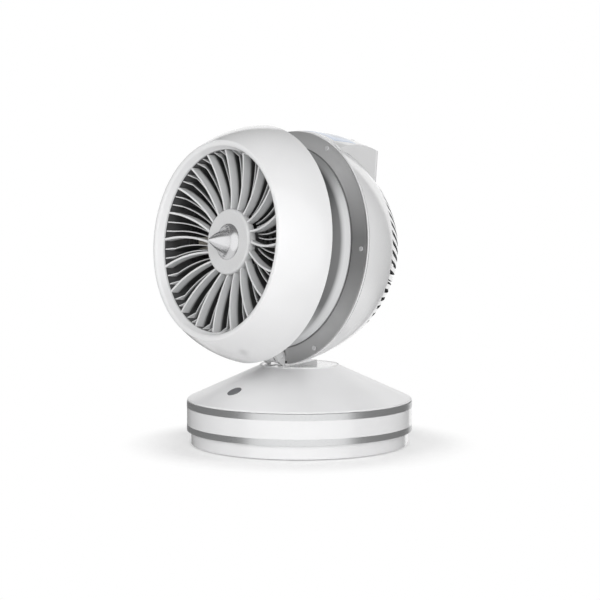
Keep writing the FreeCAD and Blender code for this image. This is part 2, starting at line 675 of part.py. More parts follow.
duct_front = s.fine_rear - s.stack_gap
vane_rim_bore = s.opening_radius + s.vane_rim_fit
vane_rim = vane_rim_bore + s.vane_rim_wall
cowl_throat = vane_rim + s.vane_rim_fit
vane_ring_rear = s.fine_rear + s.fine_ring_depth + s.stack_gap
seam_front = s.flange_edge_front - s.flange_thickness
seam_radius = s.flange_radius + s.seam_proud
screw_circle = s.flange_radius - s.screw_inset
dome_radius = s.flange_radius - s.dome_inset
dome_front = seam_front - s.seam_thickness - s.seam_gap
head_height = collar_top + s.head_clear + dome_radius * cosine(s.head_tilt) - dome_front * sine(s.head_tilt)
pod_top_front = dome_radius + s.pod_rise
pod_top_back = pod_top_front - s.pod_drop
panel_board_top = pod_top_front - s.panel_board_drop
hub_core = s.hub_radius - s.hub_wall


def flare_length(extra=ZERO):
    """Length of the duct's flare, for a surface that far outside the duct."""
    rise = s.duct_rim_radius - duct_radius
    bend = s.duct_flare - extra
    return root(2 * bend * rise - rise * rise)


# Foot

def make_foot_tray():
    body = new_body("FootTray")
    turned(body, "PartDesign::Revolution", [
        (s.post_bore, s.foot_clear),
        (foot_radius, s.foot_clear),
        (foot_radius, s.foot_top),
        (foot_radius - s.foot_wall, s.foot_top),
        (foot_radius - s.foot_wall, floor_top),
        (s.post_bore, floor_top),
    ])
    recess = new_sketch(body, "XY_Plane", "PadRecess")
    lift(recess, s.foot_clear + s.pad_recess)
    for across, along in round_places(s.pad_count, 90.0):
        draw_circle(recess, pad_circle * across, pad_circle * along, s.pad_radius + fit)
    cut_through(body, recess)
    heads = new_sketch(body, "XY_Plane", "ScrewHeads")
    lift(heads, s.foot_clear + s.case_screw_head)
    shanks = new_sketch(body, "XY_Plane", "ScrewShanks")
    lift(shanks, floor_top + s.over)
    for across, along in round_places(s.case_screw_count, 45.0):
        x, y = s.post_screw_circle * across, s.post_screw_circle * along
        draw_circle(heads, x, y, s.case_screw_head_radius + fit)
        draw_circle(shanks, x, y, s.case_screw_radius + fit)
    cut_through(body, heads)
    cut_through(body, shanks)
    hole = new_sketch(body, "XZ_Plane", "GlandHole")
    draw_circle(hole, ZERO, s.gland_height, s.gland_radius)
    cut_through(body, hole)
    keep(body, "foot_tray")


def make_rubber_feet():
    height = s.foot_clear + s.pad_recess
    feet = [
        cylinder("RubberFoot", s.pad_radius, height, pad_circle * across, pad_circle * along)
        for across, along in round_places(s.pad_count, 90.0)
    ]
    keep(grouped("RubberFeet", feet), "rubber_feet")


def make_pivot_post():
    body = new_body("PivotPost")
    turned(body, "PartDesign::Revolution", [
        (s.post_bore, floor_top),
        (s.post_flange_radius, floor_top),
        (s.post_flange_radius, gear_bottom),
        (s.post_radius, gear_bottom),
        (s.post_radius, s.post_top),
        (s.post_bore, s.post_top),
    ])
    holes = new_sketch(body, "XY_Plane", "ScrewHoles")
    lift(holes, gear_bottom + s.over)
    for across, along in round_places(s.case_screw_count, 45.0):
        x, y = s.post_screw_circle * across, s.post_screw_circle * along
        draw_circle(holes, x, y, s.case_screw_radius + s.shaft_fit)
    cut_through(body, holes)
    keep(body, "pivot_post")


def make_pivot_nut():
    low = s.bush_top + fit
    body = new_body("PivotNut")
    turned(body, "PartDesign::Revolution", [
        (s.post_radius, low), (s.nut_radius, low), (s.nut_radius, s.post_top), (s.post_radius, s.post_top),
    ])
    keep(body, "pivot_nut")


def tooth_corners(teeth):
    """One straight-sided tooth that points along +X, from inside the root circle to its tip."""
    pitch = s.gear_module * teeth / 2
    tip = pitch + s.gear_module * s.gear_addendum
    foot = pitch - s.gear_module * s.gear_root
    half = s.gear_module * math.pi / 4 - s.gear_backlash / 2
    slope = sine(s.gear_pressure) / cosine(s.gear_pressure)
    tip_half = half - s.gear_module * s.gear_addendum * slope
    foot_half = half + s.gear_module * slope
    return [(foot, -foot_half), (tip, -tip_half), (tip, tip_half), (foot, foot_half)]


def make_gear(name, teeth, bore, low, width):
    body = new_body(name)
    blank = s.gear_module * (teeth / 2 - s.gear_dedendum)
    turned(body, "PartDesign::Revolution", [
        (bore, low), (blank, low), (blank, low + width), (bore, low + width),
    ])
    sketch = new_sketch(body, "XY_Plane", "Tooth")
    lift(sketch, low)
    draw_loop(sketch, tooth_corners(teeth))
    tooth = padded(body, sketch, width)
    repeated(body, tooth, sketch, teeth)
    return body


def make_swing_gear():
    keep(make_gear("SwingGear", s.gear_teeth, s.post_radius, gear_bottom, s.gear_width), "swing_gear")


def make_glide_ring():
    body = new_body("GlideRing")
    high = s.plate_bottom - fit
    turned(body, "PartDesign::Revolution", [
        (s.glide_inner, floor_top), (s.glide_outer, floor_top), (s.glide_outer, high), (s.glide_inner, high),
    ])
    keep(body, "glide_ring")


def make_cord_gland():
    body = new_body("CordGland")
    start = foot_radius - s.foot_wall - s.gland_inside
    stop = foot_radius + s.gland_outside
    step = s.gland_radius + s.gland_rim
    wall = foot_radius - s.foot_wall - s.gland_rim
    snug = s.gland_radius - s.shaft_fit
    turned(body, "PartDesign::Revolution", [
        (s.gland_bore, start), (step, start), (step, wall), (snug, wall), (snug, stop), (s.gland_bore, stop),
    ])
    body.Placement = FreeCAD.Placement(
        FreeCAD.Vector(0, 0, s.gland_height.value), FreeCAD.Rotation(FreeCAD.Vector(1, 0, 0), -90.0))
    bind(body, "Placement.Base.z", s.gland_height)
    keep(body, "cord_gland")


def make_screws(name, circle, low, head_height, length, label):
    """Four screws that point up, with their heads at the bottom."""
    body = new_body(name)
    heads = new_sketch(body, "XY_Plane", "Heads")
    lift(heads, low)
    shanks = new_sketch(body, "XY_Plane", "Shanks")
    lift(shanks, low)
    for across, along in round_places(s.case_screw_count, 45.0):
        draw_circle(heads, circle * across, circle * along, s.case_screw_head_radius)
        draw_circle(shanks, circle * across, circle * along, s.case_screw_radius)
    padded(body, heads, head_height)
    padded(body, shanks, length)
    keep(body, label)


def make_foot_screws():
    length = s.foot_floor + s.case_screw_bite
    make_screws("FootScrews", s.post_screw_circle, s.foot_clear, s.case_screw_head, length, "foot_screws")


# Round base that turns

def make_turntable_plate():
    body = new_body("TurntablePlate")
    bore = s.bush_radius + s.shaft_fit
    edge = drum_bore - fit
    turned(body, "PartDesign::Revolution", [
        (bore, s.plate_bottom), (edge, s.plate_bottom), (edge, plate_top), (bore, plate_top),
    ])
    holes = new_sketch(body, "XY_Plane", "Holes")
    lift(holes, plate_top + s.over)
    draw_circle(holes, motor_x, motor_y, s.pinion_shaft + s.motor_hole_room)
    for across, along in round_places(s.case_screw_count, 45.0):
        draw_circle(holes, boss_circle * across, boss_circle * along, s.case_screw_radius + fit)
    cut_through(body, holes)
    keep(body, "turntable_plate")


def make_turntable_bush():
    body = new_body("TurntableBush")
    bore = s.post_radius + s.shaft_fit
    lip = s.bush_radius + s.bush_lip
    turned(body, "PartDesign::Revolution", [
        (bore, s.bush_low),
        (s.bush_radius, s.bush_low),
        (s.bush_radius, plate_top),
        (lip, plate_top),
        (lip, plate_top + s.bush_lip_height),
        (s.bush_radius, plate_top + s.bush_lip_height),
        (s.bush_radius, s.bush_top),
        (bore, s.bush_top),
    ])
    keep(body, "turntable_bush")


def make_base_drum():
    body = new_body("BaseDrum")
    turned(body, "PartDesign::Revolution", [
        (drum_bore, s.band_low_bottom), (band_bore, s.band_low_bottom), (band_bore, s.band_low_top),
        (s.drum_radius, s.band_low_top), (s.drum_radius, s.drum_top), (band_bore, s.drum_top),
        (band_bore, s.band_high_top), (drum_bore, s.band_high_top),
    ])
    bosses = new_sketch(body, "XY_Plane", "Bosses")
    lift(bosses, plate_top)
    for across, along in round_places(s.case_screw_count, 45.0):
        draw_circle(bosses, boss_circle * across, boss_circle * along, s.boss_radius)
    padded(body, bosses, s.boss_height)
    pilots = new_sketch(body, "XY_Plane", "Pilots")
    lift(pilots, plate_top + s.base_screw_bite + s.over)
    for across, along in round_places(s.case_screw_count, 45.0):
        draw_circle(pilots, boss_circle * across, boss_circle * along, s.case_screw_radius + s.shaft_fit)
    cut_through(body, pilots)
    keep(body, "base_drum")


def make_trim_band(name, label, low, high):
    body = new_body(name)
    turned(body, "PartDesign::Revolution", [
        (band_bore, low), (s.drum_radius, low), (s.drum_radius, high), (band_bore, high),
    ])
    keep(body, label)


def make_base_cone():
    shell = new_body("ConeShell")
    spigot = drum_bore - fit
    inner_edge = spigot - s.cover_wall
    drop = s.cover_wall * root(1 + cone_rise * cone_rise)
    inner_top = s.cone_top - drop + cone_rise * s.collar_width
    inner_shoulder = inner_top - cone_rise * (inner_edge - collar_bore)
    seat = s.band_high_top + fit
    gap_floor = s.drum_radius - s.cone_gap_depth
    turned(shell, "PartDesign::Revolution", [
        (inner_edge, cone_bottom - s.spigot_depth),
        (spigot, cone_bottom - s.spigot_depth),
        (spigot, seat),
        (gap_floor, seat),
        (gap_floor, cone_bottom),
        (cone_edge, cone_bottom, s.shoulder_round, False),
        (shoulder_radius, shoulder_top),
        (s.collar_radius, s.cone_top),
        (s.collar_radius - s.collar_width * 0.25, collar_top),
        (collar_bore, collar_top),
        (collar_bore, inner_top),
        (inner_edge, inner_shoulder),
    ])
    hole = window_prism("WindowHole", s.window_width + 2 * fit, s.window_height + 2 * fit, s.window_depth * 2)
    keep(cut("BaseCone", shell, hole), "base_cone")


def window_prism(name, width, height, depth):
    """Long-hole prism that stands square to the cone at the remote window, sunk to the given depth."""
    body = new_body(name)
    half = width / 2
    side = height / 2 - half
    sketch = new_sketch(body, "XY_Plane")
    lift(sketch, s.window_proud - depth)
    draw_loop(sketch, [
        (half, -side), (half, side, half * 1.0001, False),
        (-half, side), (-half, -side, half * 1.0001, False),
    ])
    padded(body, sketch, depth)
    return to_window(body)


def to_window(thing):
    height = shoulder_top + cone_rise * (shoulder_radius - s.window_radius)
    slope = Size(math.degrees(math.atan(cone_rise.value)), f"atan({cone_rise.text})")
    rotation = FreeCAD.Rotation(FreeCAD.Vector(1, 0, 0), slope.value)
    thing.Placement = FreeCAD.Placement(
        FreeCAD.Vector(0, -s.window_radius.value, height.value), rotation)
    bind(thing, "Placement.Base.y", -s.window_radius)
    bind(thing, "Placement.Base.z", height)
    bind(thing, "Placement.Rotation.Angle", slope)
    return thing


def make_remote_window():
    keep(window_prism("RemoteWindow", s.window_width, s.window_height, s.window_depth), "remote_window")


def make_receiver_board():
    body = new_body("ReceiverBoard")
    back = s.window_proud - s.window_depth
    half = s.window_width * 0.75
    sketch = new_sketch(body, "XY_Plane")
    lift(sketch, back - s.board_thickness)
    draw_loop(sketch, box_corners(-half, half, -s.window_height * 0.7, s.window_height * 0.7))
    padded(body, sketch, s.board_thickness)
    keep(to_window(body), "receiver_board")


motor_x = gear_distance * cosine(s.motor_bearing_angle)
motor_y = gear_distance * sine(s.motor_bearing_angle)
pinion_bottom = gear_bottom + (s.gear_width - s.pinion_width) / 2


def make_swing_motor():
    body = new_body("SwingMotor")
    bore = s.pinion_shaft + s.shaft_fit
    boss = s.pinion_shaft + s.motor_boss_wall
    boss_bottom = s.plate_bottom + s.motor_boss_rise
    turned(body, "PartDesign::Revolution", [
        (bore, boss_bottom), (boss, boss_bottom), (boss, plate_top),
        (s.motor_can_radius, plate_top), (s.motor_can_radius, plate_top + s.motor_can_height),
        (ZERO, plate_top + s.motor_can_height),
        (ZERO, plate_top + s.motor_bore), (bore, plate_top + s.motor_bore),
    ])
    keep(place(body, motor_x, motor_y), "swing_motor")


def make_drive_pinion():
    body = make_gear("DrivePinion", s.pinion_teeth, ZERO, pinion_bottom, s.pinion_width)
    stem = new_sketch(body, "XY_Plane", "Stem")
    lift(stem, pinion_bottom)
    draw_circle(stem, ZERO, ZERO, s.pinion_shaft)
    padded(body, stem, plate_top + s.pinion_stem - pinion_bottom)
    place(body, motor_x, motor_y)
    mesh = 180.0 / s.pinion_teeth + s.motor_bearing_angle * (1.0 + s.gear_teeth / s.pinion_teeth) + 180.0
    rotation = FreeCAD.Rotation(FreeCAD.Vector(0, 0, 1), mesh.value)
    body.Placement = FreeCAD.Placement(FreeCAD.Vector(motor_x.value, motor_y.value, 0), rotation)
    bind(body, "Placement.Rotation.Angle", mesh)
    keep(body, "drive_pinion")


def make_power_board():
    half = s.board_width / 2
    low = plate_top + s.board_rise
    high = low + s.board_thickness
    side = s.relay_side
    near = s.board_back + s.relay_edge
    far = s.board_back + s.board_depth - s.capacitor_edge
    pieces = [block("BoardSheet", s.board_width, s.board_depth, s.board_thickness, -half, s.board_back, low)]
    for x in (-half + s.relay_edge, -side / 2, half - s.relay_edge - side):
        pieces.append(block("Relay", side, side, s.relay_height, x, near, high))
    pieces.append(cylinder("Capacitor", s.capacitor_radius, s.relay_height, ZERO, far, high))
    keep(fused("PowerBoard", pieces), "power_board")


def make_board_spacers():
    half = s.board_width / 2 - s.spacer_edge
    near = s.board_back + s.spacer_edge
    far = s.board_back + s.board_depth - s.spacer_edge
    spacers = []
    for x in (-half, half):
        for y in (near, far):
            spacers.append(cylinder("Spacer", s.spacer_radius, s.board_rise, x, y, plate_top))
    keep(grouped("BoardSpacers", spacers), "board_spacers")


def make_base_screws():
    low = s.plate_bottom - s.base_screw_head
    length = s.base_screw_head + s.plate_thickness + s.base_screw_bite
    make_screws("BaseScrews", boss_circle, low, s.base_screw_head, length, "base_screws")


# Neck and tilt hinge

def make_neck_post():
    body = new_body("NeckPost")
    low_flange = s.neck_radius + s.neck_foot
    step = yoke_bottom - s.neck_flange
    turned(body, "PartDesign::Revolution", [
        (s.neck_bore, plate_top), (low_flange, plate_top), (low_flange, plate_top + s.neck_flange),
        (s.neck_radius, plate_top + s.neck_flange), (s.neck_radius, step), (s.neck_flange_radius, step),
        (s.neck_flange_radius, yoke_bottom), (s.neck_bore, yoke_bottom),
    ])
    keep(cut("NeckPostCut", body, motor_clearance()), "neck_post")


def motor_clearance():
    radius = s.motor_can_radius + s.motor_room
    height = s.motor_room + s.motor_can_height + s.motor_headroom
    return cylinder("MotorClearance", radius, height, motor_x, motor_y, plate_top - s.motor_room)


def make_neck_yoke():
    body = new_body("NeckYoke")
    edge = collar_bore - s.yoke_gap
    turned(body, "PartDesign::Revolution", [
        (ZERO, yoke_bottom), (edge, yoke_bottom), (edge, yoke_top), (ZERO, yoke_top),
    ])
    pedestal = new_sketch(body, "YZ_Plane", "Pedestal")
    draw_loop(pedestal, [
        (-s.pedestal_front, yoke_bottom),
        (s.pedestal_back, yoke_bottom),
        (s.pedestal_back, yoke_top + s.pedestal_high),
        (-s.pedestal_front, yoke_top + s.pedestal_low),
    ])
    padded(body, pedestal, 2 * s.pedestal_half, both_ways=True)
    front = -s.hinge_forward
    lug_front = front - s.barrel_radius
    lug_rear = front + s.barrel_radius
    lip_clear = collar_top + s.lug_lift
    foot_front = -(collar_bore - s.yoke_gap - s.lug_inset)
    foot_rear = front + 2 * s.barrel_radius
    for side in (-1.0, 1.0):
        sketch = new_sketch(body, "YZ_Plane", "Lug")
        lift(sketch, lug_inner if side > 0 else -lug_outer)
        draw_loop(sketch, [
            (foot_front, yoke_top - s.lug_sink),
            (foot_rear, yoke_top - s.lug_sink),
            (foot_rear, yoke_top + s.lug_foot),
            (lug_rear - s.lug_relief, lip_clear),
            (lug_rear, hinge_height, s.barrel_radius * 1.0001, False),
            (lug_front, hinge_height),
            (foot_front, lip_clear),
        ])
        padded(body, sketch, s.lug_thickness)
    bore = new_sketch(body, "YZ_Plane", "PinBore")
    draw_circle(bore, front, hinge_height, s.pin_radius + s.shaft_fit)
    cut_through(body, bore, both_ways=True)
    hole = new_sketch(body, "YZ_Plane", "LugHole")
    low = lip_clear + s.lug_hole_lift
    near = front - s.lug_hole_width / 2
    draw_loop(hole, [(near, low), (near + s.lug_hole_width, low), (near, low + s.lug_hole_height)])
    cut_through(body, hole, both_ways=True)
    keep(body, "neck_yoke")


def make_hinge_pin():
    body = new_body("HingePin")
    sketch = new_sketch(body, "YZ_Plane")
    draw_circle(sketch, -s.hinge_forward, hinge_height, s.pin_radius)
    padded(body, sketch, 2 * (lug_outer - s.pin_inset), both_ways=True)
    keep(body, "hinge_pin")


def make_friction_washers():
    body = new_body("FrictionWashers")
    for side in (-1.0, 1.0):
        sketch = new_sketch(body, "YZ_Plane", "Washer")
        near = lug_inner - s.shaft_fit - s.washer_thickness
        lift(sketch, near if side > 0 else -(near + s.washer_thickness))
        draw_circle(sketch, -s.hinge_forward, hinge_height, s.washer_radius)
        draw_circle(sketch, -s.hinge_forward, hinge_height, s.pin_radius + s.shaft_fit)
        padded(body, sketch, s.washer_thickness)
    keep(body, "friction_washers")


def make_head_stem():
    """Arm that rises from the hinge to the underside of the duct."""
    blank = new_body("StemBlank")
    front = -s.hinge_forward - s.barrel_radius
    arm_rear = front + s.arm_depth
    high = head_height - duct_radius + s.arm_sink
    sketch = new_sketch(blank, "YZ_Plane")
    draw_loop(sketch, [
        (front, hinge_height, s.barrel_radius * 1.0001, False),
        (front + 2 * s.barrel_radius, hinge_height),
        (arm_rear, hinge_height + s.barrel_radius),
        (arm_rear - s.arm_taper, high),
        (front - s.arm_depth, high),
        (front - s.arm_depth * 0.6, hinge_height + s.barrel_radius),
    ])
    padded(blank, sketch, 2 * s.knuckle_half, both_ways=True)
    bore = new_sketch(blank, "YZ_Plane", "PinBore")
    draw_circle(bore, -s.hinge_forward, hinge_height, s.pin_radius + s.shaft_fit)
    cut_through(blank, bore, both_ways=True)
    core = new_body("DuctCore")
    gap = s.saddle_gap
    rim = s.duct_rim_radius + gap
    bend = s.duct_flare - gap
    straight = s.duct_rim_front + flare_length()
    turned(core, "PartDesign::Revolution", [
        (ZERO, s.flange_edge_front), (rim, s.flange_edge_front),
        (rim, s.duct_rim_front, bend, True), (duct_radius + gap, straight),
        (duct_radius + gap, s.cowl_rear), (ZERO, s.cowl_rear),
    ])
    whole = fused("StemWhole", [blank, to_head(stem_shoulder())])
    keep(cut("HeadStem", whole, to_head(core)), "head_stem")


def stem_shoulder():
    """Plate that fills the flange's notch, with a bridge forward to the arm between the lugs."""
    body = new_body("StemShoulder")
    rear = dome_front + s.shoulder_fit
    inner = s.notch_radius + s.shoulder_fit
    half = s.notch_half - s.shoulder_fit
    plate = new_sketch(body, "XY_Plane", "Plate")
    lift(plate, rear)
    draw_loop(plate, box_corners(-half, half, -s.shoulder_reach, -inner))
    padded(body, plate, s.shoulder_thickness)
    bridge = new_sketch(body, "XY_Plane", "Bridge")
    lift(bridge, rear)
    draw_loop(bridge, box_corners(-s.knuckle_half, s.knuckle_half, s.bridge_inset - s.shoulder_reach, -inner))
    padded(body, bridge, s.bridge_front - rear)
    return body


# Head shell

def make_front_cowl():
    inner_lip = s.lip_radius - s.lip_inner_step
    inner_round = s.cowl_round - s.cowl_wall
    throat_front = s.opening_front - s.opening_edge
    body = new_body("FrontCowl")
    turned(body, "PartDesign::Revolution", [
        (s.cowl_rear_radius, s.cowl_rear, s.cowl_round, False),
        (s.lip_radius, s.lip_front, s.lip_round, False),
        (inner_lip, s.lip_front - s.lip_inner_drop),
        (s.opening_radius, s.opening_front),
        (s.opening_radius, throat_front),
        (cowl_throat, throat_front),
        (cowl_throat, s.cowl_throat_rear),
        (cowl_throat + s.cowl_wall, s.cowl_throat_rear),
        (cowl_throat + s.cowl_wall, throat_front),
        (s.lip_radius - s.lip_under, s.lip_front - s.cowl_wall * 2, inner_round, True),
        (s.cowl_rear_radius - s.cowl_wall, s.cowl_rear),
    ])
    keep(to_head(body), "front_cowl")


def make_cowl_rear_cover():
    body = new_body("CowlRearCover")
    inner = cowl_throat
    outer = s.cowl_rear_radius - s.cowl_wall - s.cover_inset
    rear = s.cowl_throat_rear - s.stack_gap - s.cover_thickness
    edge = s.cowl_rear + s.cover_edge
    turned(body, "PartDesign::Revolution", [
        (inner, rear), (inner + s.cowl_wall, rear), (outer, edge),
        (outer - s.cover_chamfer, edge + s.cover_thickness),
        (inner + s.cowl_wall, rear + s.cover_thickness), (inner, rear + s.cover_thickness),
    ])
    keep(to_head(body), "cowl_rear_cover")


def make_inner_duct():
    body = new_body("InnerDuct")
    rim_rear = s.flange_front + s.seat_gap
    straight = s.duct_rim_front + flare_length()
    inner_bend = s.duct_flare + s.duct_wall
    turned(body, "PartDesign::Revolution", [
        (s.duct_rim_radius, rim_rear),
        (s.duct_rim_radius, s.duct_rim_front, s.duct_flare, True),
        (duct_radius, straight),
        (duct_radius, duct_front),
        (duct_bore, duct_front),
        (duct_bore, straight, inner_bend, False),
        (s.duct_rim_radius - s.duct_wall * 1.4, rim_rear),
    ])
    keep(to_head(body), "inner_duct")


def cut_neck_notch(body):
    notch = new_sketch(body, "XY_Plane", "Notch")
    low = -(seam_radius + s.over)
    draw_loop(notch, box_corners(-s.notch_half, s.notch_half, low, -s.notch_radius))
    cut_through(body, notch, both_ways=True)


def make_flange_ring():
    body = new_body("FlangeRing")
    turned(body, "PartDesign::Revolution", [
        (s.flange_bore, s.flange_front - s.flange_thickness),
        (s.flange_flat, s.flange_front - s.flange_thickness),
        (s.flange_radius, seam_front),
        (s.flange_radius, s.flange_edge_front),
        (s.flange_flat, s.flange_front),
        (s.flange_bore, s.flange_front),
    ])
    holes = new_sketch(body, "XY_Plane", "ScrewHoles")
    for across, along in round_places(s.screw_count, 0.0):
        draw_circle(holes, screw_circle * across, screw_circle * along, s.screw_radius + s.screw_room)
    cut_through(body, holes, both_ways=True)
    cut_neck_notch(body)
    keep(to_head(body), "flange_ring")


def make_flange_screws():
    slope = (s.flange_front - s.flange_edge_front) / (s.flange_radius - s.flange_flat)
    seat = s.flange_edge_front + slope * (s.flange_radius - screw_circle) + slope * s.screw_head_radius
    body = new_body("FlangeScrews")
    head = new_sketch(body, "XY_Plane", "Heads")
    lift(head, seat + s.seat_gap)
    shank = new_sketch(body, "XY_Plane", "Shanks")
    lift(shank, seat + s.seat_gap + s.screw_head - s.screw_length)
    for across, along in round_places(s.screw_count, 0.0):
        draw_circle(head, screw_circle * across, screw_circle * along, s.screw_head_radius)
        draw_circle(shank, screw_circle * across, screw_circle * along, s.screw_radius)
    padded(body, head, s.screw_head)
    padded(body, shank, s.screw_length - s.screw_head / 2)
    keep(to_head(body), "flange_screws")


def make_seam_ring():
    body = new_body("SeamRing")
    low = seam_front - s.seam_thickness
    inner = seam_radius - s.seam_width
    turned(body, "PartDesign::Revolution", [
        (inner, low), (seam_radius, low), (seam_radius, seam_front), (inner, seam_front),
    ])
    cut_neck_notch(body)
    keep(to_head(body), "seam_ring")


def dome_corners(grow):
    """Outer and back curves of the dome, moved outwards by grow, from its front edge to the axis."""
    return [
        (dome_radius + grow, dome_front, s.dome_round + grow, True),
        (s.dome_shoulder + grow * 0.6, -(s.dome_shoulder_back + grow * 0.8), s.dome_cap_round, True),
        (ZERO, -(s.dome_back + grow)),
    ]


def make_rear_dome():
    body = new_body("RearDome")
    wall = -s.dome_wall
    outer = dome_corners(ZERO)
    inner = dome_corners(wall)
    turned(body, "PartDesign::Revolution", [
        outer[0],
        outer[1],
        outer[2],
        inner[2] + (s.dome_cap_round, False),
        inner[1][:2] + (s.dome_round - s.dome_wall, False),
        inner[0][:2],
    ])
    bosses = new_sketch(body, "XY_Plane", "Bosses")
    lift(bosses, dome_front - s.dome_rebate)
    for across, along in round_places(s.screw_count, 0.0):
        draw_circle(bosses, screw_circle * across, screw_circle * along, s.screw_radius + s.screw_boss_wall)
    padded(body, bosses, s.dome_rebate)
    holes = new_sketch(body, "XY_Plane", "BossHoles")
    lift(holes, dome_front)
    for across, along in round_places(s.screw_count, 0.0):
        draw_circle(holes, screw_circle * across, screw_circle * along, s.screw_radius + s.shaft_fit)
    cut_depth(body, holes, s.dome_rebate)
    pitch = 360.0 / s.slot_count
    full_count = s.slot_count - s.slot_short_count
    reach = (s.slot_short_count - 1) / 2
    first_full = pitch * (reach + 1) - s.slot_shift
    first_short = -pitch * reach - s.slot_shift
    cut_slots(body, s.slot_outer, s.slot_sweep, s.slot_width_outer, full_count, first_full)
    cut_slots(body, s.slot_short, s.slot_short_sweep, s.slot_short_width, s.slot_short_count, first_short)
    keep(to_head(body), "rear_dome")


def cut_slots(body, outer, sweep, width, count, first):
    """Row of curved intake slots, the first of them turned that many degrees from the top."""
    slot = new_sketch(body, "XY_Plane", "Slot")
    lift(slot, ZERO, first)
    inner_half = s.slot_width_inner / 2
    outer_half = width / 2
    far = root(outer * outer - sweep * sweep)
    draw_loop(slot, [
        (-inner_half, s.slot_inner),
        (inner_half, s.slot_inner, s.slot_bow, False),
        (outer_half - sweep, far),
        (-outer_half - sweep, far, s.slot_bow, True),
    ])
    pocket = cut_through(body, slot)
    repeated(body, pocket, slot, count, 360.0 / s.slot_count * (count - 1))


# Control pod

def pod_top(forward):
    """Radius of the pod's crowned top at a place along the head."""
    behind_front = s.pod_front - forward
    share = behind_front / (s.pod_front + s.pod_back)
    line = pod_top_front + share * (pod_top_back - pod_top_front)
    before_back = forward + s.pod_back - s.pod_corner
    return line + behind_front * before_back / (2 * s.pod_top_round)


def dome_centre():
    """Centre of the dome's long curve, as (radius, forward)."""
    across = dome_radius - s.dome_shoulder
    along = dome_front + s.dome_shoulder_back
    chord = root(across * across + along * along)
    reach = root(s.dome_round * s.dome_round - chord * chord / 4)
    middle = ((dome_radius + s.dome_shoulder) / 2, (dome_front - s.dome_shoulder_back) / 2)
    return middle[0] - reach * along / chord, middle[1] + reach * across / chord


def dome_at(forward, grow):
    """Radius of the dome's outside at a place along the head, moved outwards by grow."""
    radius, along = dome_centre()
    bend = s.dome_round + grow
    return radius + root(bend * bend - (forward - along) * (forward - along))


def make_control_pod():
    body = new_body("ControlPod")
    back = -s.pod_back
    bend = s.dome_round + s.pod_fit
    turned(body, "PartDesign::Revolution", [
        (dome_at(s.pod_front, s.pod_fit), s.pod_front),
        (pod_top_front, s.pod_front, s.pod_top_round, True),
        (pod_top(back + s.pod_corner), back + s.pod_corner, s.pod_corner * 1.02, True),
        (pod_top(back + s.pod_corner) - s.pod_corner, back),
        (dome_at(back, s.pod_fit), back, bend, False),
    ], plane="YZ_Plane", angle=s.pod_angle)
    trim = new_sketch(body, "XZ_Plane", "Plan")
    wide = pod_top_front
    draw_loop(trim, box_corners(-wide, wide, back - 2 * s.pod_over, s.pod_front + 2 * s.pod_over))
    inner_back = s.pod_half_back - s.pod_plan_round
    round_front = back + s.pod_plan_round
    draw_loop(trim, [
        (-inner_back, back - fit),
        (inner_back, back - fit, s.pod_plan_round * 1.02, False),
        (s.pod_half_back, round_front),
        (s.pod_half_front, s.pod_front + s.pod_over),
        (-s.pod_half_front, s.pod_front + s.pod_over),
        (-s.pod_half_back, round_front, s.pod_plan_round * 1.02, False),
    ])
    cut_through(body, trim, both_ways=True)
    cavity_front = -s.pod_cavity_front
    cavity_back = back + s.pod_wall
    turned(body, "PartDesign::Groove", [
        (dome_at(cavity_front, -s.over), cavity_front),
        (pod_top(cavity_front) - s.pod_wall, cavity_front),
        (pod_top(cavity_back + s.pod_corner) - s.pod_wall, cavity_back + s.pod_corner),
        (pod_top(cavity_back + s.pod_corner) - s.pod_wall - s.pod_corner, cavity_back),
        (dome_at(cavity_back, -s.over), cavity_back),
    ], plane="YZ_Plane", angle=s.pod_cavity_angle)
    low = window_low - s.window_fit
    high = pod_top_front + s.pod_clear
    turned(body, "PartDesign::Groove", box_corners(
        low, high, -(s.window_back + s.window_fit), s.window_front + s.window_fit,
    ), plane="YZ_Plane", angle=s.window_angle + s.window_end_fit)
    holes = new_sketch(body, "XZ_Plane", "ButtonHoles")
    for place_x in button_places():
        draw_circle(holes, place_x, -s.button_back, s.button_radius + s.button_fit)
    cut_through(body, holes, both_ways=True)
    posts = new_sketch(body, "XZ_Plane", "BoardPosts")
    post_x = s.panel_board_half - s.panel_post_inset
    post_back = s.panel_board_back - s.panel_post_back
    skin = pod_top(-(post_back + s.panel_post_radius))
    post_top = root(skin * skin - s.panel_board_half * s.panel_board_half)
    lift(posts, -post_top)
    for x in (-post_x, post_x):
        for z in (-s.panel_board_front - s.panel_post_front, -post_back):
            draw_circle(posts, x, z, s.panel_post_radius)
    padded(body, posts, post_top - panel_board_top, back=False)
    keep(to_head(body), "control_pod")


window_low = pod_top_front - s.window_thickness - s.window_sink


def make_display_window():
    body = new_body("DisplayWindow")
    turned(body, "PartDesign::Revolution", [
        (window_low, -s.window_back),
        (pod_top(-s.window_back) + s.window_raise, -s.window_back, s.pod_top_round, False),
        (pod_top(s.window_front) + s.window_raise, s.window_front),
        (window_low, s.window_front),
    ], plane="YZ_Plane", angle=s.window_angle)
    keep(to_head(body), "display_window")


def button_places():
    middle = (int(s.button_count.value) - 1) / 2
    return [s.button_pitch * (index - middle) for index in range(int(s.button_count.value))]


def make_control_board():
    thickness = s.board_thickness
    body = new_body("ControlBoard")
    sketch = new_sketch(body, "XZ_Plane")
    lift(sketch, -panel_board_top)
    half = s.panel_board_half
    draw_loop(sketch, box_corners(-half, half, -s.panel_board_back, -s.panel_board_front))
    padded(body, sketch, thickness)
    switches = new_sketch(body, "XZ_Plane", "Switches")
    lift(switches, -(panel_board_top + s.switch_height))
    side = s.switch_width / 2
    for x in button_places():
        draw_loop(switches, box_corners(x - side, x + side, -s.button_back - side, -s.button_back + side))
    padded(body, switches, s.switch_height)
    keep(to_head(body), "control_board")


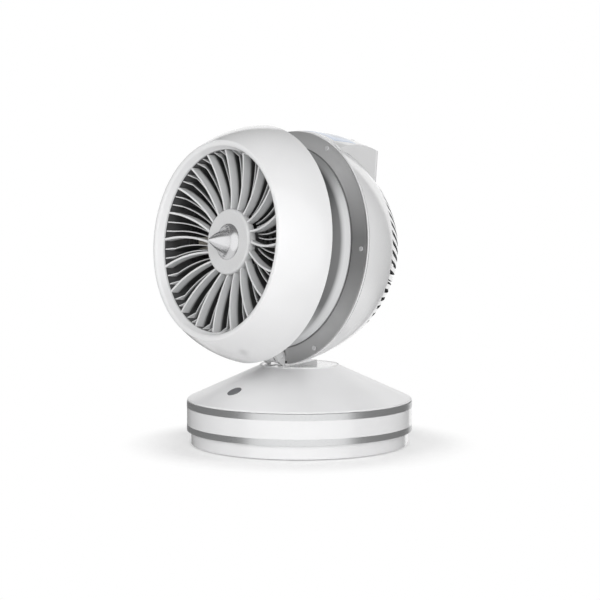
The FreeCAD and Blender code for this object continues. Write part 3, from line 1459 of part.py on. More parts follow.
def make_button(index, x, label):
    skin = pod_top(-s.button_back)
    top = skin + s.button_proud + s.over
    under = root(skin * skin - x * x) - s.button_depth
    rest = panel_board_top + s.switch_height + s.button_travel + s.switch_gap
    body = new_body(f"Button{index}")
    cap = new_sketch(body, "XZ_Plane", "Cap")
    lift(cap, -top)
    draw_circle(cap, x, -s.button_back, s.button_radius)
    padded(body, cap, top - under)
    near, far = -s.button_back - s.button_radius * 2, -s.button_back + s.button_radius * 2
    surface = skin + s.button_proud
    high = surface + s.pod_clear
    turned(body, "PartDesign::Groove", box_corners(surface, high, near, far), plane="YZ_Plane")
    stem = new_sketch(body, "XZ_Plane", "Stem")
    lift(stem, -under - s.button_root)
    draw_circle(stem, x, -s.button_back, s.button_radius * 0.5)
    padded(body, stem, under + s.button_root - rest)
    keep(to_head(body), label)


BUTTONS = ("power_button", "mode_button", "speed_button", "timer_button", "swing_button")


def make_buttons():
    for index, (x, label) in enumerate(zip(button_places(), BUTTONS)):
        make_button(index, x, label)


# Outlet vanes and hub

def vane_strip(sketch, inner, outer, thickness):
    half = thickness / 2
    lean = -s.vane_lean
    draw_loop(sketch, [
        (half, outer, s.vane_bow + half, True),
        (lean + half, inner),
        (lean - half, inner, s.vane_bow - half, False),
        (-half, outer),
    ])


def make_outlet_vanes():
    body = new_body("OutletVanes")
    hub_bore = hub_core - s.hub_ring_wall
    rim_front = s.opening_front - s.opening_edge - s.stack_gap
    turned(body, "PartDesign::Revolution", box_corners(vane_rim_bore, vane_rim, vane_ring_rear, rim_front))
    sketch = new_sketch(body, "XY_Plane", "Vane")
    lift(sketch, s.vane_rear_hub)
    vane_strip(sketch, hub_core - s.vane_root, vane_rim_bore + s.vane_root, s.vane_thickness)
    vane = padded(body, sketch, s.vane_front_rim - s.vane_rear_hub)
    repeated(body, vane, sketch, s.vane_count)
    core = hub_core - 2 * s.vane_root
    top = s.vane_front_rim + s.over
    skirt = s.hub_skirt_rear - s.stack_gap
    hub_side = s.hub_radius + s.stack_gap
    mouth = s.opening_radius - s.vane_rim_fit
    turned(body, "PartDesign::Groove", [
        (core, skirt), (hub_side, skirt), (hub_side, s.vane_front_hub), (mouth, s.vane_front_rim),
        (mouth, rim_front), (vane_rim, rim_front), (vane_rim, top), (core, top),
    ])
    under = s.vane_rear_hub - s.over
    turned(body, "PartDesign::Groove", [
        (core, s.vane_rear_hub), (core, under), (vane_rim_bore, under),
        (vane_rim_bore, s.vane_rear_rim),
    ])
    ring_front = s.hub_skirt_rear + s.hub_ring_lap
    turned(body, "PartDesign::Revolution", box_corners(hub_bore, hub_core - fit, s.vane_rear_hub, ring_front))
    keep(to_head(body), "outlet_vanes")


def make_fine_grille():
    body = new_body("FineGrille")
    ring_front = s.fine_rear + s.fine_ring_depth
    outer = s.opening_radius - s.vane_rim_fit
    inner = s.hub_radius + s.fine_hub_gap
    turned(body, "PartDesign::Revolution", box_corners(
        outer - s.fine_rim_wall, vane_rim, s.fine_rear, ring_front,
    ))
    third = 120.0 / s.vane_count
    for part in (1.0, 2.0):
        sketch = new_sketch(body, "XY_Plane", "FineVane")
        lift(sketch, s.fine_rear, third * part)
        vane_strip(sketch, inner, outer, s.fine_thickness)
        vane = padded(body, sketch, s.fine_front_rim - s.fine_rear)
        repeated(body, vane, sketch, s.vane_count)
    top = s.fine_front_rim + s.over
    turned(body, "PartDesign::Groove", [
        (inner - 2 * s.over, s.fine_front_hub), (outer - s.fine_hook, s.fine_front_bend),
        (outer, s.fine_front_rim), (outer, top), (inner - 2 * s.over, top),
    ])
    turned(body, "PartDesign::Revolution", box_corners(
        inner - s.fine_hub_wall, inner + s.fine_hub_lap, s.fine_rear, ring_front,
    ))
    keep(to_head(body), "fine_grille")


def make_hub_disc():
    body = new_body("HubDisc")
    under = s.hub_front - s.hub_wall
    turned(body, "PartDesign::Revolution", [
        (ZERO, under - s.hub_dish),
        (hub_core, under - s.hub_dish),
        (hub_core, s.hub_skirt_rear),
        (s.hub_radius, s.hub_skirt_rear),
        (s.hub_radius, s.hub_front - s.hub_round, s.hub_round * 1.0001, False),
        (s.hub_radius - s.hub_round, s.hub_front),
        (s.nose_radius + s.hub_dish_rim, s.hub_front - s.hub_dish),
        (ZERO, s.hub_front - s.hub_dish),
    ])
    keep(to_head(body), "hub_disc")


def make_nose_cone():
    body = new_body("NoseCone")
    low = s.hub_front - s.hub_dish
    turned(body, "PartDesign::Revolution", [
        (ZERO, low), (s.nose_radius, low), (s.nose_radius, low + s.nose_edge, s.nose_flare, True),
        (s.nose_waist, s.nose_waist_front, s.nose_bulge, False),
        (s.nose_point, s.nose_tip - s.nose_point_depth), (ZERO, s.nose_tip),
    ])
    keep(to_head(body), "nose_cone")


# Fan, motor and heater

def make_fan_shroud():
    body = new_body("FanShroud")
    outer = s.shroud_bore + s.shroud_wall
    front = s.flange_front - s.shroud_gap
    step = front - s.shroud_flange
    rear = -s.shroud_rear
    edge = s.flange_bore - s.shroud_gap
    turned(body, "PartDesign::Revolution", [
        (s.shroud_bore, front), (s.shroud_bore, rear, s.shroud_flare * 1.3, False),
        (s.shroud_bore + s.shroud_flare, rear - s.shroud_flare),
        (outer + s.shroud_flare, rear - s.shroud_flare, s.shroud_flare * 1.3, True),
        (outer, rear), (outer, step), (edge, step), (edge, front),
    ])
    keep(to_head(body), "fan_shroud")


def blade_section(sketch, chord, pitch):
    """Thin slanted plate, centred on the hub's middle."""
    run, rise = math.cos(math.radians(pitch)) * chord / 2, math.sin(math.radians(pitch)) * chord / 2
    middle = s.impeller_depth / 2 - s.impeller_rear
    half = s.blade_thickness / 2
    draw_loop(sketch, [
        (-run, middle - rise - half),
        (run, middle + rise - half),
        (run, middle + rise + half),
        (-run, middle - rise + half),
    ])


def make_impeller():
    body = new_body("Impeller")
    rear = -s.impeller_rear
    front = rear + s.impeller_depth
    wall = s.impeller_wall
    slant = s.impeller_slant
    boss = s.shaft_radius + s.impeller_boss
    turned(body, "PartDesign::Revolution", [
        (s.shaft_radius, rear),
        (s.impeller_hub - slant, rear),
        (s.impeller_hub, rear + slant),
        (s.impeller_hub, front),
        (s.impeller_hub - wall, front),
        (s.impeller_hub - wall, rear + slant + wall),
        (boss, rear + wall * 3),
        (boss, front - s.impeller_boss),
        (s.shaft_radius, front - s.impeller_boss),
    ])
    root_section = new_sketch(body, "XZ_Plane", "BladeRoot")
    lift(root_section, -(s.impeller_hub - wall * 0.6))
    blade_section(root_section, 24.0, 42.0)
    tip_section = new_sketch(body, "XZ_Plane", "BladeTip")
    lift(tip_section, -s.impeller_radius)
    blade_section(tip_section, 34.0, 24.0)
    blade = body.newObject("PartDesign::AdditiveLoft", "Blade")
    blade.Profile = root_section
    blade.Sections = [tip_section]
    body.Tip = blade
    doc.recompute()
    turn = new_sketch(body, "XY_Plane", "TurnAxis")
    draw_circle(turn, ZERO, ZERO, as_size(1.0))
    repeated(body, blade, turn, s.blade_count)
    keep(to_head(body), "impeller")


def make_motor_shaft():
    body = new_body("MotorShaft")
    low = -(s.impeller_rear + 7.0)
    high = s.motor_front - s.motor_wall - 1.0
    turned(body, "PartDesign::Revolution", [
        (ZERO, low), (s.shaft_radius, low), (s.shaft_radius, high), (ZERO, high),
    ])
    keep(to_head(body), "motor_shaft")


def make_impeller_nut():
    body = new_body("ImpellerNut")
    high = -s.impeller_rear
    turned(body, "PartDesign::Revolution", [
        (s.shaft_radius, high - 5.0), (s.shaft_radius + 3.5, high - 5.0), (s.shaft_radius + 3.5, high),
        (s.shaft_radius, high),
    ])
    keep(to_head(body), "impeller_nut")


stator_middle = (s.motor_rear + s.motor_front) / 2


def make_rotor_core():
    body = new_body("RotorCore")
    outer = s.stator_inner - s.rotor_gap
    low, high = stator_middle - s.stator_depth / 2, stator_middle + s.stator_depth / 2
    turned(body, "PartDesign::Revolution", [
        (s.shaft_radius, low), (outer, low), (outer, high), (s.shaft_radius, high),
    ])
    keep(to_head(body), "rotor_core")


def make_stator_core():
    body = new_body("StatorCore")
    outer = s.motor_radius - s.motor_wall
    low, high = stator_middle - s.stator_depth / 2, stator_middle + s.stator_depth / 2
    turned(body, "PartDesign::Revolution", [
        (s.stator_inner, low), (outer, low), (outer, high), (s.stator_inner, high),
    ])
    keep(to_head(body), "stator_core")


def make_motor_case():
    body = new_body("MotorCase")
    outer = s.motor_radius
    inner = outer - s.motor_wall
    low, high = s.motor_rear, s.motor_front
    seat = s.bearing_radius
    lug = seat + s.motor_wall
    hole = s.shaft_radius + 1.5
    turned(body, "PartDesign::Revolution", [
        (hole, low), (outer, low), (outer, high), (ZERO, high), (ZERO, high - s.motor_wall),
        (seat, high - s.motor_wall), (seat, high - s.motor_wall - s.bearing_width),
        (lug, high - s.motor_wall - s.bearing_width), (lug, high - s.motor_wall),
        (inner, high - s.motor_wall),
        (inner, low + s.motor_wall), (lug, low + s.motor_wall), (lug, low + s.motor_wall + s.bearing_width),
        (seat, low + s.motor_wall + s.bearing_width), (seat, low + s.motor_wall), (hole, low + s.motor_wall),
    ])
    keep(to_head(body), "motor_case")


def make_shaft_bearings():
    body = new_body("ShaftBearings")
    bore = s.shaft_radius + s.shaft_fit
    for low in (s.motor_rear + s.motor_wall, s.motor_front - s.motor_wall - s.bearing_width):
        high = low + s.bearing_width
        turned(body, "PartDesign::Revolution", [
            (bore, low), (s.bearing_radius, low), (s.bearing_radius, high), (bore, high),
        ])
    keep(to_head(body), "shaft_bearings")


def make_motor_spider():
    body = new_body("MotorSpider")
    low, high = s.spider_rear, s.spider_rear + s.spider_depth
    outer = s.shroud_bore - 0.1
    inner = s.motor_radius + 0.1
    turned(body, "PartDesign::Revolution", [
        (outer - s.spider_ring, low), (outer, low), (outer, high), (outer - s.spider_ring, high),
    ])
    sketch = new_sketch(body, "XY_Plane", "Arm")
    lift(sketch, low)
    half = s.spider_arm_width / 2
    draw_loop(sketch, box_corners(-half, half, inner + s.spider_ring * 0.5, outer - s.spider_ring * 0.5))
    arm = padded(body, sketch, s.spider_depth)
    repeated(body, arm, sketch, s.spider_arms)
    turned(body, "PartDesign::Revolution", [
        (inner, low), (inner + s.spider_ring, low), (inner + s.spider_ring, high), (inner, high),
    ])
    keep(to_head(body), "motor_spider")


heater_outer = duct_bore - s.heater_fit


def make_heater_frame():
    body = new_body("HeaterFrame")
    low = s.duct_rim_front + flare_length() + fit
    high = low + s.heater_depth * 0.7
    turned(body, "PartDesign::Revolution", box_corners(heater_outer - s.heater_ring, heater_outer, low, high))
    sketch = new_sketch(body, "XY_Plane", "Arm")
    lift(sketch, low)
    half = s.heater_ring / 2
    draw_loop(sketch, box_corners(-half, half, s.heater_inner + 1.0, heater_outer - 1.0))
    arm = padded(body, sketch, high - low)
    repeated(body, arm, sketch, s.heater_blocks)
    turned(body, "PartDesign::Revolution", [
        (s.heater_inner, low), (s.heater_inner + s.heater_ring, low), (s.heater_inner + s.heater_ring, high),
        (s.heater_inner, high),
    ])
    keep(to_head(body), "heater_frame")


def make_heater_elements():
    body = new_body("HeaterElements")
    low = s.duct_rim_front + flare_length() + fit
    sketch = new_sketch(body, "XY_Plane", "Element")
    lift(sketch, low)
    near = s.heater_inner + s.heater_ring + 0.1
    far = heater_outer - s.heater_ring - 2.0
    half = s.heater_block_width / 2
    draw_loop(sketch, box_corners(-half, half, near + 0.8, far))
    turn = 180.0 / s.heater_blocks
    lift(sketch, low, turn)
    element = padded(body, sketch, s.heater_depth * 0.65)
    repeated(body, element, sketch, s.heater_blocks)
    keep(to_head(body), "heater_elements")


def make_thermal_cutout():
    body = new_body("ThermalCutout")
    low = s.duct_rim_front + flare_length() + fit + s.heater_depth * 0.7
    sketch = new_sketch(body, "XY_Plane")
    lift(sketch, low)
    half = s.cutout_size / 2
    top = heater_outer
    draw_loop(sketch, box_corners(-half, half, top - s.cutout_size, top - 1.0))
    padded(body, sketch, s.cutout_size / 3)
    keep(to_head(body), "thermal_cutout")


make_foot_tray()
make_rubber_feet()
make_pivot_post()
make_pivot_nut()
make_swing_gear()
make_glide_ring()
make_cord_gland()
make_foot_screws()
make_turntable_plate()
make_turntable_bush()
make_base_drum()
make_trim_band("LowerBand", "lower_trim_band", s.band_low_bottom, s.band_low_top)
make_trim_band("UpperBand", "upper_trim_band", s.drum_top, s.band_high_top)
make_base_cone()
make_remote_window()
make_receiver_board()
make_swing_motor()
make_drive_pinion()
make_power_board()
make_board_spacers()
make_base_screws()
make_neck_post()
make_neck_yoke()
make_hinge_pin()
make_friction_washers()
make_head_stem()
make_front_cowl()
make_cowl_rear_cover()
make_inner_duct()
make_flange_ring()
make_flange_screws()
make_seam_ring()
make_rear_dome()
make_control_pod()
make_display_window()
make_control_board()
make_buttons()
make_outlet_vanes()
make_fine_grille()
make_hub_disc()
make_nose_cone()
make_fan_shroud()
make_impeller()
make_motor_shaft()
make_impeller_nut()
make_rotor_core()
make_stator_core()
make_motor_case()
make_shaft_bearings()
make_motor_spider()
make_heater_frame()
make_heater_elements()
make_thermal_cutout()

doc.recompute()
for item in doc.Objects:
    if "Invalid" in item.State or "Error" in item.State:
        raise RuntimeError(f"{item.Label} did not build: {item.State}")
for item in PARTS:
    if item.Shape.isNull() or not item.Shape.isValid() or not item.Shape.Solids:
        raise RuntimeError(f"{item.Label} has no valid solid")

os.makedirs("parts", exist_ok=True)
for item in PARTS:
    item.Shape.exportStep(f"parts/{item.Label}.step")
    print(f"{item.Label}: {len(item.Shape.Solids)} solid, {item.Shape.Volume / 1000.0:.2f} cm3")
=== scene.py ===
import math

import bpy
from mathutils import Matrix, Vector

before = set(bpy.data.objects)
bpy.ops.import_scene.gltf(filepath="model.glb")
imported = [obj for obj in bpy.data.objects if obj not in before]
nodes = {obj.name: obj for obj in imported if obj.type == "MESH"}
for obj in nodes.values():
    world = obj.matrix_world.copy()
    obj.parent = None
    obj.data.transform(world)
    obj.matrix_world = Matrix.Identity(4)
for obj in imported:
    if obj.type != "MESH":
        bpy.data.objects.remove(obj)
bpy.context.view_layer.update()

# Camera: the photograph's place, in metres, for a square picture
CAMERA_AZIMUTH_DEG = 48.08
CAMERA_AZIMUTH = math.radians(CAMERA_AZIMUTH_DEG)
CAMERA_PITCH = math.radians(3.26)
CAMERA_DISTANCE = 1.56
CAMERA_TARGET = Vector((0.0, 0.0, 0.165))
CAMERA_LENS = 81.12
CAMERA_SHIFT = 0.00095

# Light of the room from its sides and from straight above, next to the white background's 1
ROOM_LIGHT = 0.70
ROOM_TOP = 0.24

# What mirrors see where no panel is
ROOM_MIRROR = 0.2

# Bright round panels that mirrors see: azimuth, elevation, outer and inner angle in degrees, level
PANELS = (
    (CAMERA_AZIMUTH_DEG, 3.0, 61.0, 50.0, 1.0),
    (CAMERA_AZIMUTH_DEG + 170.0, 8.0, 30.0, 24.0, 1.0),
    (0.0, -90.0, 80.0, 62.0, 0.75),
)

# Lamps: name, azimuth and elevation in degrees, size in metres, power in watts
LAMPS = (
    ("front", 54.0, 14.0, 1.4, 13.5),
    ("left", -4.0, 24.0, 1.0, 5.5),
    ("right", 128.0, 42.0, 0.8, 3.5),
    ("back", 218.0, 34.0, 1.2, 7.0),
)
LAMP_DISTANCE = 1.9
LAMP_TARGET = Vector((0.0, 0.0, 0.18))

# Floor: its size, its drop below the feet, and the radii between which its painted pale grey shadow round
# the object fades to plain white
FLOOR_SIZE = 12.0
FLOOR_HEIGHT = -0.0002
FLOOR_COLOUR = (0.92, 0.92, 0.92, 1.0)
FLOOR_NEAR = 0.145
FLOOR_FAR = 0.21

# What the floor near the object adds for the eye alone; kept low, so that the near floor stays a painted
# pale grey shadow
FLOOR_GLOW = 0.20

# Head: its centre and the way that it faces, at rest
HEAD_TILT = math.radians(5.0)
HEAD_CENTRE = Vector((0.0, 0.0, 0.2239))
HEAD_AXIS = Vector((0.0, -math.cos(HEAD_TILT), math.sin(HEAD_TILT)))
HEAD_UP = Vector((0.0, math.sin(HEAD_TILT), math.cos(HEAD_TILT)))

# Dished fronts of the broad and the fine vanes: slope, and place at the axis. Depth and rim radius of the
# painted shade on the broad vanes, rate and start of the painted shade on the fine vanes
VANE_SLOPE = 0.2257
VANE_HUB = 0.0958
VANE_DEPTH = 0.0136
VANE_RIM_RADIUS = 0.1001
GRILLE_SLOPE = 0.2246
GRILLE_HUB = 0.0848
GRILLE_PER_METRE = 50.0
GRILLE_FRONT = 0.25

# Radii and lengths that the painted shade, light and reflection on the duct and the flange follow
DUCT_LENGTH = 0.1
FLANGE_BORE = 0.110
FLANGE_WIDTH = 0.0225

# Grey field of the display: half its width, its middle along the head and half its depth
DISPLAY_HALF = 0.048
DISPLAY_BACK = 0.008
DISPLAY_DEPTH = 0.0085

# Grain of the surfaces
CLOUD_SCALE = 14.0
COAT_ROUGHNESS = 0.08
BUMP_HEIGHT = 0.0003

# Share by which a face of a shell has to face outwards to keep its colour; faces below it get painted
# shade
OUTWARD_LIMIT = 0.5


def direction(azimuth, elevation):
    """Unit vector from the object towards a place round it, in radians."""
    flat = math.cos(elevation)
    return Vector((flat * math.sin(azimuth), -flat * math.cos(azimuth), math.sin(elevation)))


# Materials

def link_noise(tree, scale, detail=2.0):
    """Noise fixed to the object's own frame."""
    place = tree.nodes.new("ShaderNodeTexCoord")
    noise = tree.nodes.new("ShaderNodeTexNoise")
    noise.inputs["Scale"].default_value = scale
    noise.inputs["Detail"].default_value = detail
    tree.links.new(place.outputs["Object"], noise.inputs["Vector"])
    return noise.outputs["Fac"]


def link_range(tree, source, low, high):
    ramp = tree.nodes.new("ShaderNodeMapRange")
    ramp.inputs["From Min"].default_value = 0.3
    ramp.inputs["From Max"].default_value = 0.7
    ramp.inputs["To Min"].default_value = low
    ramp.inputs["To Max"].default_value = high
    tree.links.new(source, ramp.inputs["Value"])
    return ramp.outputs["Result"]


def surface(name, colour, roughness, metallic=0.0, tint=0.02, spread=0.04, grain=900.0,
            relief=0.02, coat=0.0):
    """Moulded, painted or machined surface with fine grain in its colour, gloss and relief."""
    made = bpy.data.materials.new(name)
    made.use_nodes = True
    tree = made.node_tree
    shader = tree.nodes["Principled BSDF"]
    shader.inputs["Metallic"].default_value = metallic
    shader.inputs["Coat Weight"].default_value = coat
    shader.inputs["Coat Roughness"].default_value = COAT_ROUGHNESS
    cloud = link_noise(tree, CLOUD_SCALE)
    fine = link_noise(tree, grain, 3.0)
    ramp = tree.nodes.new("ShaderNodeValToRGB")
    ramp.color_ramp.elements[0].position = 0.3
    ramp.color_ramp.elements[1].position = 0.7
    ramp.color_ramp.elements[0].color = (*[c * (1.0 - tint) for c in colour], 1.0)
    ramp.color_ramp.elements[1].color = (*[min(c * (1.0 + tint), 1.0) for c in colour], 1.0)
    tree.links.new(cloud, ramp.inputs["Fac"])
    tree.links.new(ramp.outputs["Color"], shader.inputs["Base Color"])
    gloss = link_range(tree, fine, roughness - spread, roughness + spread)
    tree.links.new(gloss, shader.inputs["Roughness"])
    bump = tree.nodes.new("ShaderNodeBump")
    bump.inputs["Strength"].default_value = relief
    bump.inputs["Distance"].default_value = BUMP_HEIGHT
    tree.links.new(fine, bump.inputs["Height"])
    tree.links.new(bump.outputs["Normal"], shader.inputs["Normal"])
    return made


def link_math(tree, operation, first, second):
    """One sum; each term is a number or a link."""
    node = tree.nodes.new("ShaderNodeMath")
    node.operation = operation
    for socket, value in zip(node.inputs, (first, second)):
        if isinstance(value, float):
            socket.default_value = value
        else:
            tree.links.new(value, socket)
    return node.outputs[0]


def link_vector(tree, operation, first, second, result="Vector"):
    node = tree.nodes.new("ShaderNodeVectorMath")
    node.operation = operation
    tree.links.new(first, node.inputs[0])
    if isinstance(second, Vector):
        node.inputs[1].default_value = second
    elif second is not None:
        tree.links.new(second, node.inputs[1])
    return node.outputs[result]


def head_place(tree, node):
    """Way forward along the head's axis and radius from it, in metres, fixed to the piece."""
    back = node.matrix_world.inverted()
    centre = back @ HEAD_CENTRE
    axis = (back.to_3x3() @ HEAD_AXIS).normalized()
    place = tree.nodes.new("ShaderNodeTexCoord")
    from_centre = link_vector(tree, "SUBTRACT", place.outputs["Object"], centre)
    forward = link_vector(tree, "DOT_PRODUCT", from_centre, axis, "Value")
    across = link_vector(tree, "CROSS_PRODUCT", from_centre, axis)
    radius = link_vector(tree, "LENGTH", across, None, "Value")
    return forward, radius


def head_height(tree):
    """Height above the head's axis, in metres, fixed to the piece."""
    place = tree.nodes.new("ShaderNodeTexCoord")
    from_centre = link_vector(tree, "SUBTRACT", place.outputs["Object"], HEAD_CENTRE)
    return link_vector(tree, "DOT_PRODUCT", from_centre, HEAD_UP, "Value")


def link_ramp(tree, source, stops):
    """Grey ramp with stops of place and level."""
    ramp = tree.nodes.new("ShaderNodeValToRGB")
    points = ramp.color_ramp.elements
    while len(points) < len(stops):
        points.new(0.5)
    for point, (spot, level) in zip(points, stops):
        point.position = spot
        point.color = (level, level, level, 1.0)
    tree.links.new(source, ramp.inputs["Fac"])
    return ramp.outputs["Color"]


def tint_by(made, source):
    """Multiply a surface's colour by a grey."""
    tree = made.node_tree
    colour = tree.nodes["Principled BSDF"].inputs["Base Color"]
    mix = tree.nodes.new("ShaderNodeMix")
    mix.data_type = "RGBA"
    mix.blend_type = "MULTIPLY"
    mix.inputs["Factor"].default_value = 1.0
    tree.links.new(colour.links[0].from_socket, mix.inputs["A"])
    tree.links.new(source, mix.inputs["B"])
    tree.links.new(mix.outputs["Result"], colour)


MATERIALS = {
    "white_plastic": surface("white_plastic", (0.89, 0.89, 0.895), 0.24, coat=1.0),
    # The cone's white is a lighter copy of the white plastic: the lighter colour is painted light that
    # lifts the cone in the head's shadow; its rougher, thinner coat is its own gloss
    "cone_plastic": surface("cone_plastic", (0.93, 0.93, 0.935), 0.34, coat=0.3),
    "vane_plastic": surface("vane_plastic", (0.76, 0.765, 0.77), 0.34),
    "grey_plastic": surface("grey_plastic", (0.30, 0.305, 0.31), 0.45, relief=0.05),
    # Dark plastic of the inner parts, also used as painted shade on the rear dome's hidden faces
    "dark_plastic": surface("dark_plastic", (0.055, 0.055, 0.057), 0.55, relief=0.08),
    "silver_trim": surface("silver_trim", (0.74, 0.745, 0.75), 0.30, metallic=0.95, grain=1500.0),
    "flange_silver": surface("flange_silver", (0.92, 0.922, 0.925), 0.50, metallic=0.8, grain=1500.0),
    "screw_steel": surface("screw_steel", (0.86, 0.86, 0.87), 0.45, metallic=0.5),
    "hub_plastic": surface("hub_plastic", (0.72, 0.722, 0.725), 0.30, coat=0.3),
    "duct_silver": surface("duct_silver", (0.76, 0.765, 0.77), 0.40, metallic=0.9, grain=1500.0),
    "grille_plastic": surface("grille_plastic", (0.80, 0.805, 0.81), 0.45),
    "chrome": surface("chrome", (0.80, 0.80, 0.81), 0.24, metallic=1.0, spread=0.02, relief=0.005),
    "steel": surface("steel", (0.50, 0.50, 0.51), 0.32, metallic=1.0, grain=2500.0),
    "cast_metal": surface("cast_metal", (0.55, 0.55, 0.56), 0.45, metallic=0.9, relief=0.15),
    "rubber": surface("rubber", (0.025, 0.025, 0.025), 0.75, relief=0.2),
    "board": surface("board", (0.03, 0.13, 0.06), 0.40, tint=0.1),
    "window": surface("window", (0.17, 0.175, 0.185), 0.18, coat=0.5),
    "display": surface("display", (0.58, 0.68, 0.86), 0.16, coat=0.6),
    "ceramic": surface("ceramic", (0.55, 0.51, 0.44), 0.65, relief=0.2),
}

LOOKS = {
    "white_plastic": [
        "foot_tray", "base_drum", "neck_yoke", "head_stem", "front_cowl", "cowl_rear_cover",
        "hinge_pin", "seam_ring", "rear_dome", "control_pod",
    ],
    "cone_plastic": ["base_cone"],
    "vane_plastic": ["outlet_vanes"],
    "grey_plastic": [
        "glide_ring", "turntable_bush", "board_spacers", "drive_pinion", "impeller_nut",
        "power_button", "mode_button", "speed_button", "timer_button", "swing_button",
    ],
    "dark_plastic": [
        "swing_gear", "friction_washers", "fan_shroud", "impeller", "motor_spider", "heater_frame",
        "thermal_cutout",
    ],
    "silver_trim": ["lower_trim_band", "upper_trim_band"],
    "flange_silver": ["flange_ring"],
    "hub_plastic": ["hub_disc"],
    "duct_silver": ["inner_duct"],
    "grille_plastic": ["fine_grille"],
    "chrome": ["nose_cone"],
    "steel": [
        "pivot_post", "pivot_nut", "foot_screws", "turntable_plate", "swing_motor", "base_screws",
        "neck_post", "motor_shaft", "rotor_core", "stator_core", "shaft_bearings",
    ],
    "screw_steel": ["flange_screws"],
    "cast_metal": ["motor_case"],
    "rubber": ["rubber_feet", "cord_gland"],
    "board": ["receiver_board", "power_board", "control_board"],
    "window": ["remote_window"],
    "display": ["display_window"],
    "ceramic": ["heater_elements"],
}

for look, members in LOOKS.items():
    for member in members:
        slots = nodes[member].data.materials
        slots.clear()
        slots.append(MATERIALS[look])


def depth_behind(tree, node, slope, hub):
    """How far a place lies behind a dished front plane of the head, and its radius, in metres."""
    forward, radius = head_place(tree, node)
    front = link_math(tree, "MULTIPLY_ADD", radius, slope)
    front.node.inputs[2].default_value = hub
    return link_math(tree, "SUBTRACT", front, forward), radius


def shade_vanes():
    """Painted shade on the broad vanes: pale at their front, darkening with depth to dark at their backs,
    and dark at their rim.
    """
    made = MATERIALS["vane_plastic"]
    tree = made.node_tree
    depth, radius = depth_behind(tree, nodes["outlet_vanes"], VANE_SLOPE, VANE_HUB)
    share = link_math(tree, "DIVIDE", depth, VANE_DEPTH)
    rim = link_math(tree, "GREATER_THAN", radius, VANE_RIM_RADIUS)
    share = link_math(tree, "MAXIMUM", share, rim)
    tint_by(made, link_ramp(tree, share, ((0.0, 1.0), (0.55, 0.92), (0.7, 0.55), (0.8, 0.1))))


def shade_grille():
    """Painted shade on the fine vanes, growing with depth behind their dished front: their hooked ends
    stay pale, their front edges lighter and their backs dark.
    """
    made = MATERIALS["grille_plastic"]
    tree = made.node_tree
    depth, _ = depth_behind(tree, nodes["fine_grille"], GRILLE_SLOPE, GRILLE_HUB)
    share = link_math(tree, "MULTIPLY_ADD", depth, GRILLE_PER_METRE)
    share.node.inputs[2].default_value = GRILLE_FRONT
    tint_by(made, link_ramp(tree, share, ((0.2, 1.0), (0.25, 0.62), (0.32, 0.5), (0.4, 0.1))))


def shade_duct():
    """Painted shade on the duct: dark towards the cowl and bright towards the flange, with painted light
    on its lower part.
    """
    made = MATERIALS["duct_silver"]
    tree = made.node_tree
    forward, _ = head_place(tree, nodes["inner_duct"])
    share = link_math(tree, "DIVIDE", forward, DUCT_LENGTH)
    dark = link_ramp(tree, share, ((0.335, 1.0), (0.355, 0.8), (0.38, 0.28), (0.60, 0.26)))
    low = link_math(tree, "DIVIDE", head_height(tree), -DUCT_LENGTH)
    lit = link_ramp(tree, low, ((0.45, 0.0), (0.95, 0.75)))
    tint_by(made, link_math(tree, "MAXIMUM", dark, lit))


def shade_flange():
    """The brushed flange carries painted reflection, brightest at its top, lighter towards its bottom and
    darkest at its sides, with a painted sheen that is brightest just outside its bore and fades outwards,
    and a painted shadow line at its bore.
    """
    made = MATERIALS["flange_silver"]
    tree = made.node_tree
    _, radius = head_place(tree, nodes["flange_ring"])
    outer = link_math(tree, "DIVIDE", link_math(tree, "SUBTRACT", radius, FLANGE_BORE), FLANGE_WIDTH)
    stops = ((0.15, 0.35), (0.24, 0.4), (0.28, 1.0), (0.5, 0.97), (1.0, 0.78))
    tint_by(made, link_ramp(tree, outer, stops))
    share = link_math(tree, "DIVIDE", head_height(tree), radius)
    share = link_math(tree, "MULTIPLY_ADD", share, 0.5)
    share.node.inputs[2].default_value = 0.5
    stops = ((0.0, 0.62), (0.2, 0.78), (0.42, 0.52), (0.55, 0.47), (0.85, 1.0), (1.0, 1.0))
    tint_by(made, link_ramp(tree, share, stops))


def shade_window():
    """The display has a grey field in its middle."""
    made = MATERIALS["display"]
    tree = made.node_tree
    forward, _ = head_place(tree, nodes["display_window"])
    place = tree.nodes.new("ShaderNodeTexCoord")
    apart = tree.nodes.new("ShaderNodeSeparateXYZ")
    tree.links.new(place.outputs["Object"], apart.inputs["Vector"])
    side = link_math(tree, "ABSOLUTE", apart.outputs["X"], 0.0)
    along = link_math(tree, "ADD", forward, DISPLAY_BACK)
    along = link_math(tree, "ABSOLUTE", along, 0.0)
    inside = link_math(tree, "MULTIPLY", link_math(tree, "LESS_THAN", side, DISPLAY_HALF),
                       link_math(tree, "LESS_THAN", along, DISPLAY_DEPTH))
    tint_by(made, link_ramp(tree, inside, ((0.0, 1.0), (1.0, 0.55))))


def paint_shade_on_hidden(name, limit):
    """Painted shade: dark material on the faces of a shell that don't face well outwards from the head's
    centre, on its inside and on the walls of its slots.
    """
    data = nodes[name].data
    data.materials.append(MATERIALS["dark_plastic"])
    for face in data.polygons:
        outward = (face.center - HEAD_CENTRE).normalized()
        if face.normal.dot(outward) < limit:
            face.material_index = 1


shade_grille()
shade_window()
paint_shade_on_hidden("rear_dome", OUTWARD_LIMIT)
shade_vanes()
shade_duct()
shade_flange()


# Stage

def plane(name, size, height):
    half = size / 2
    mesh = bpy.data.meshes.new(name)
    corners = [(-half, -half, height), (half, -half, height), (half, half, height), (-half, half, height)]
    mesh.from_pydata(corners, [], [(0, 1, 2, 3)])
    made = bpy.data.objects.new(name, mesh)
    bpy.context.scene.collection.objects.link(made)
    return made


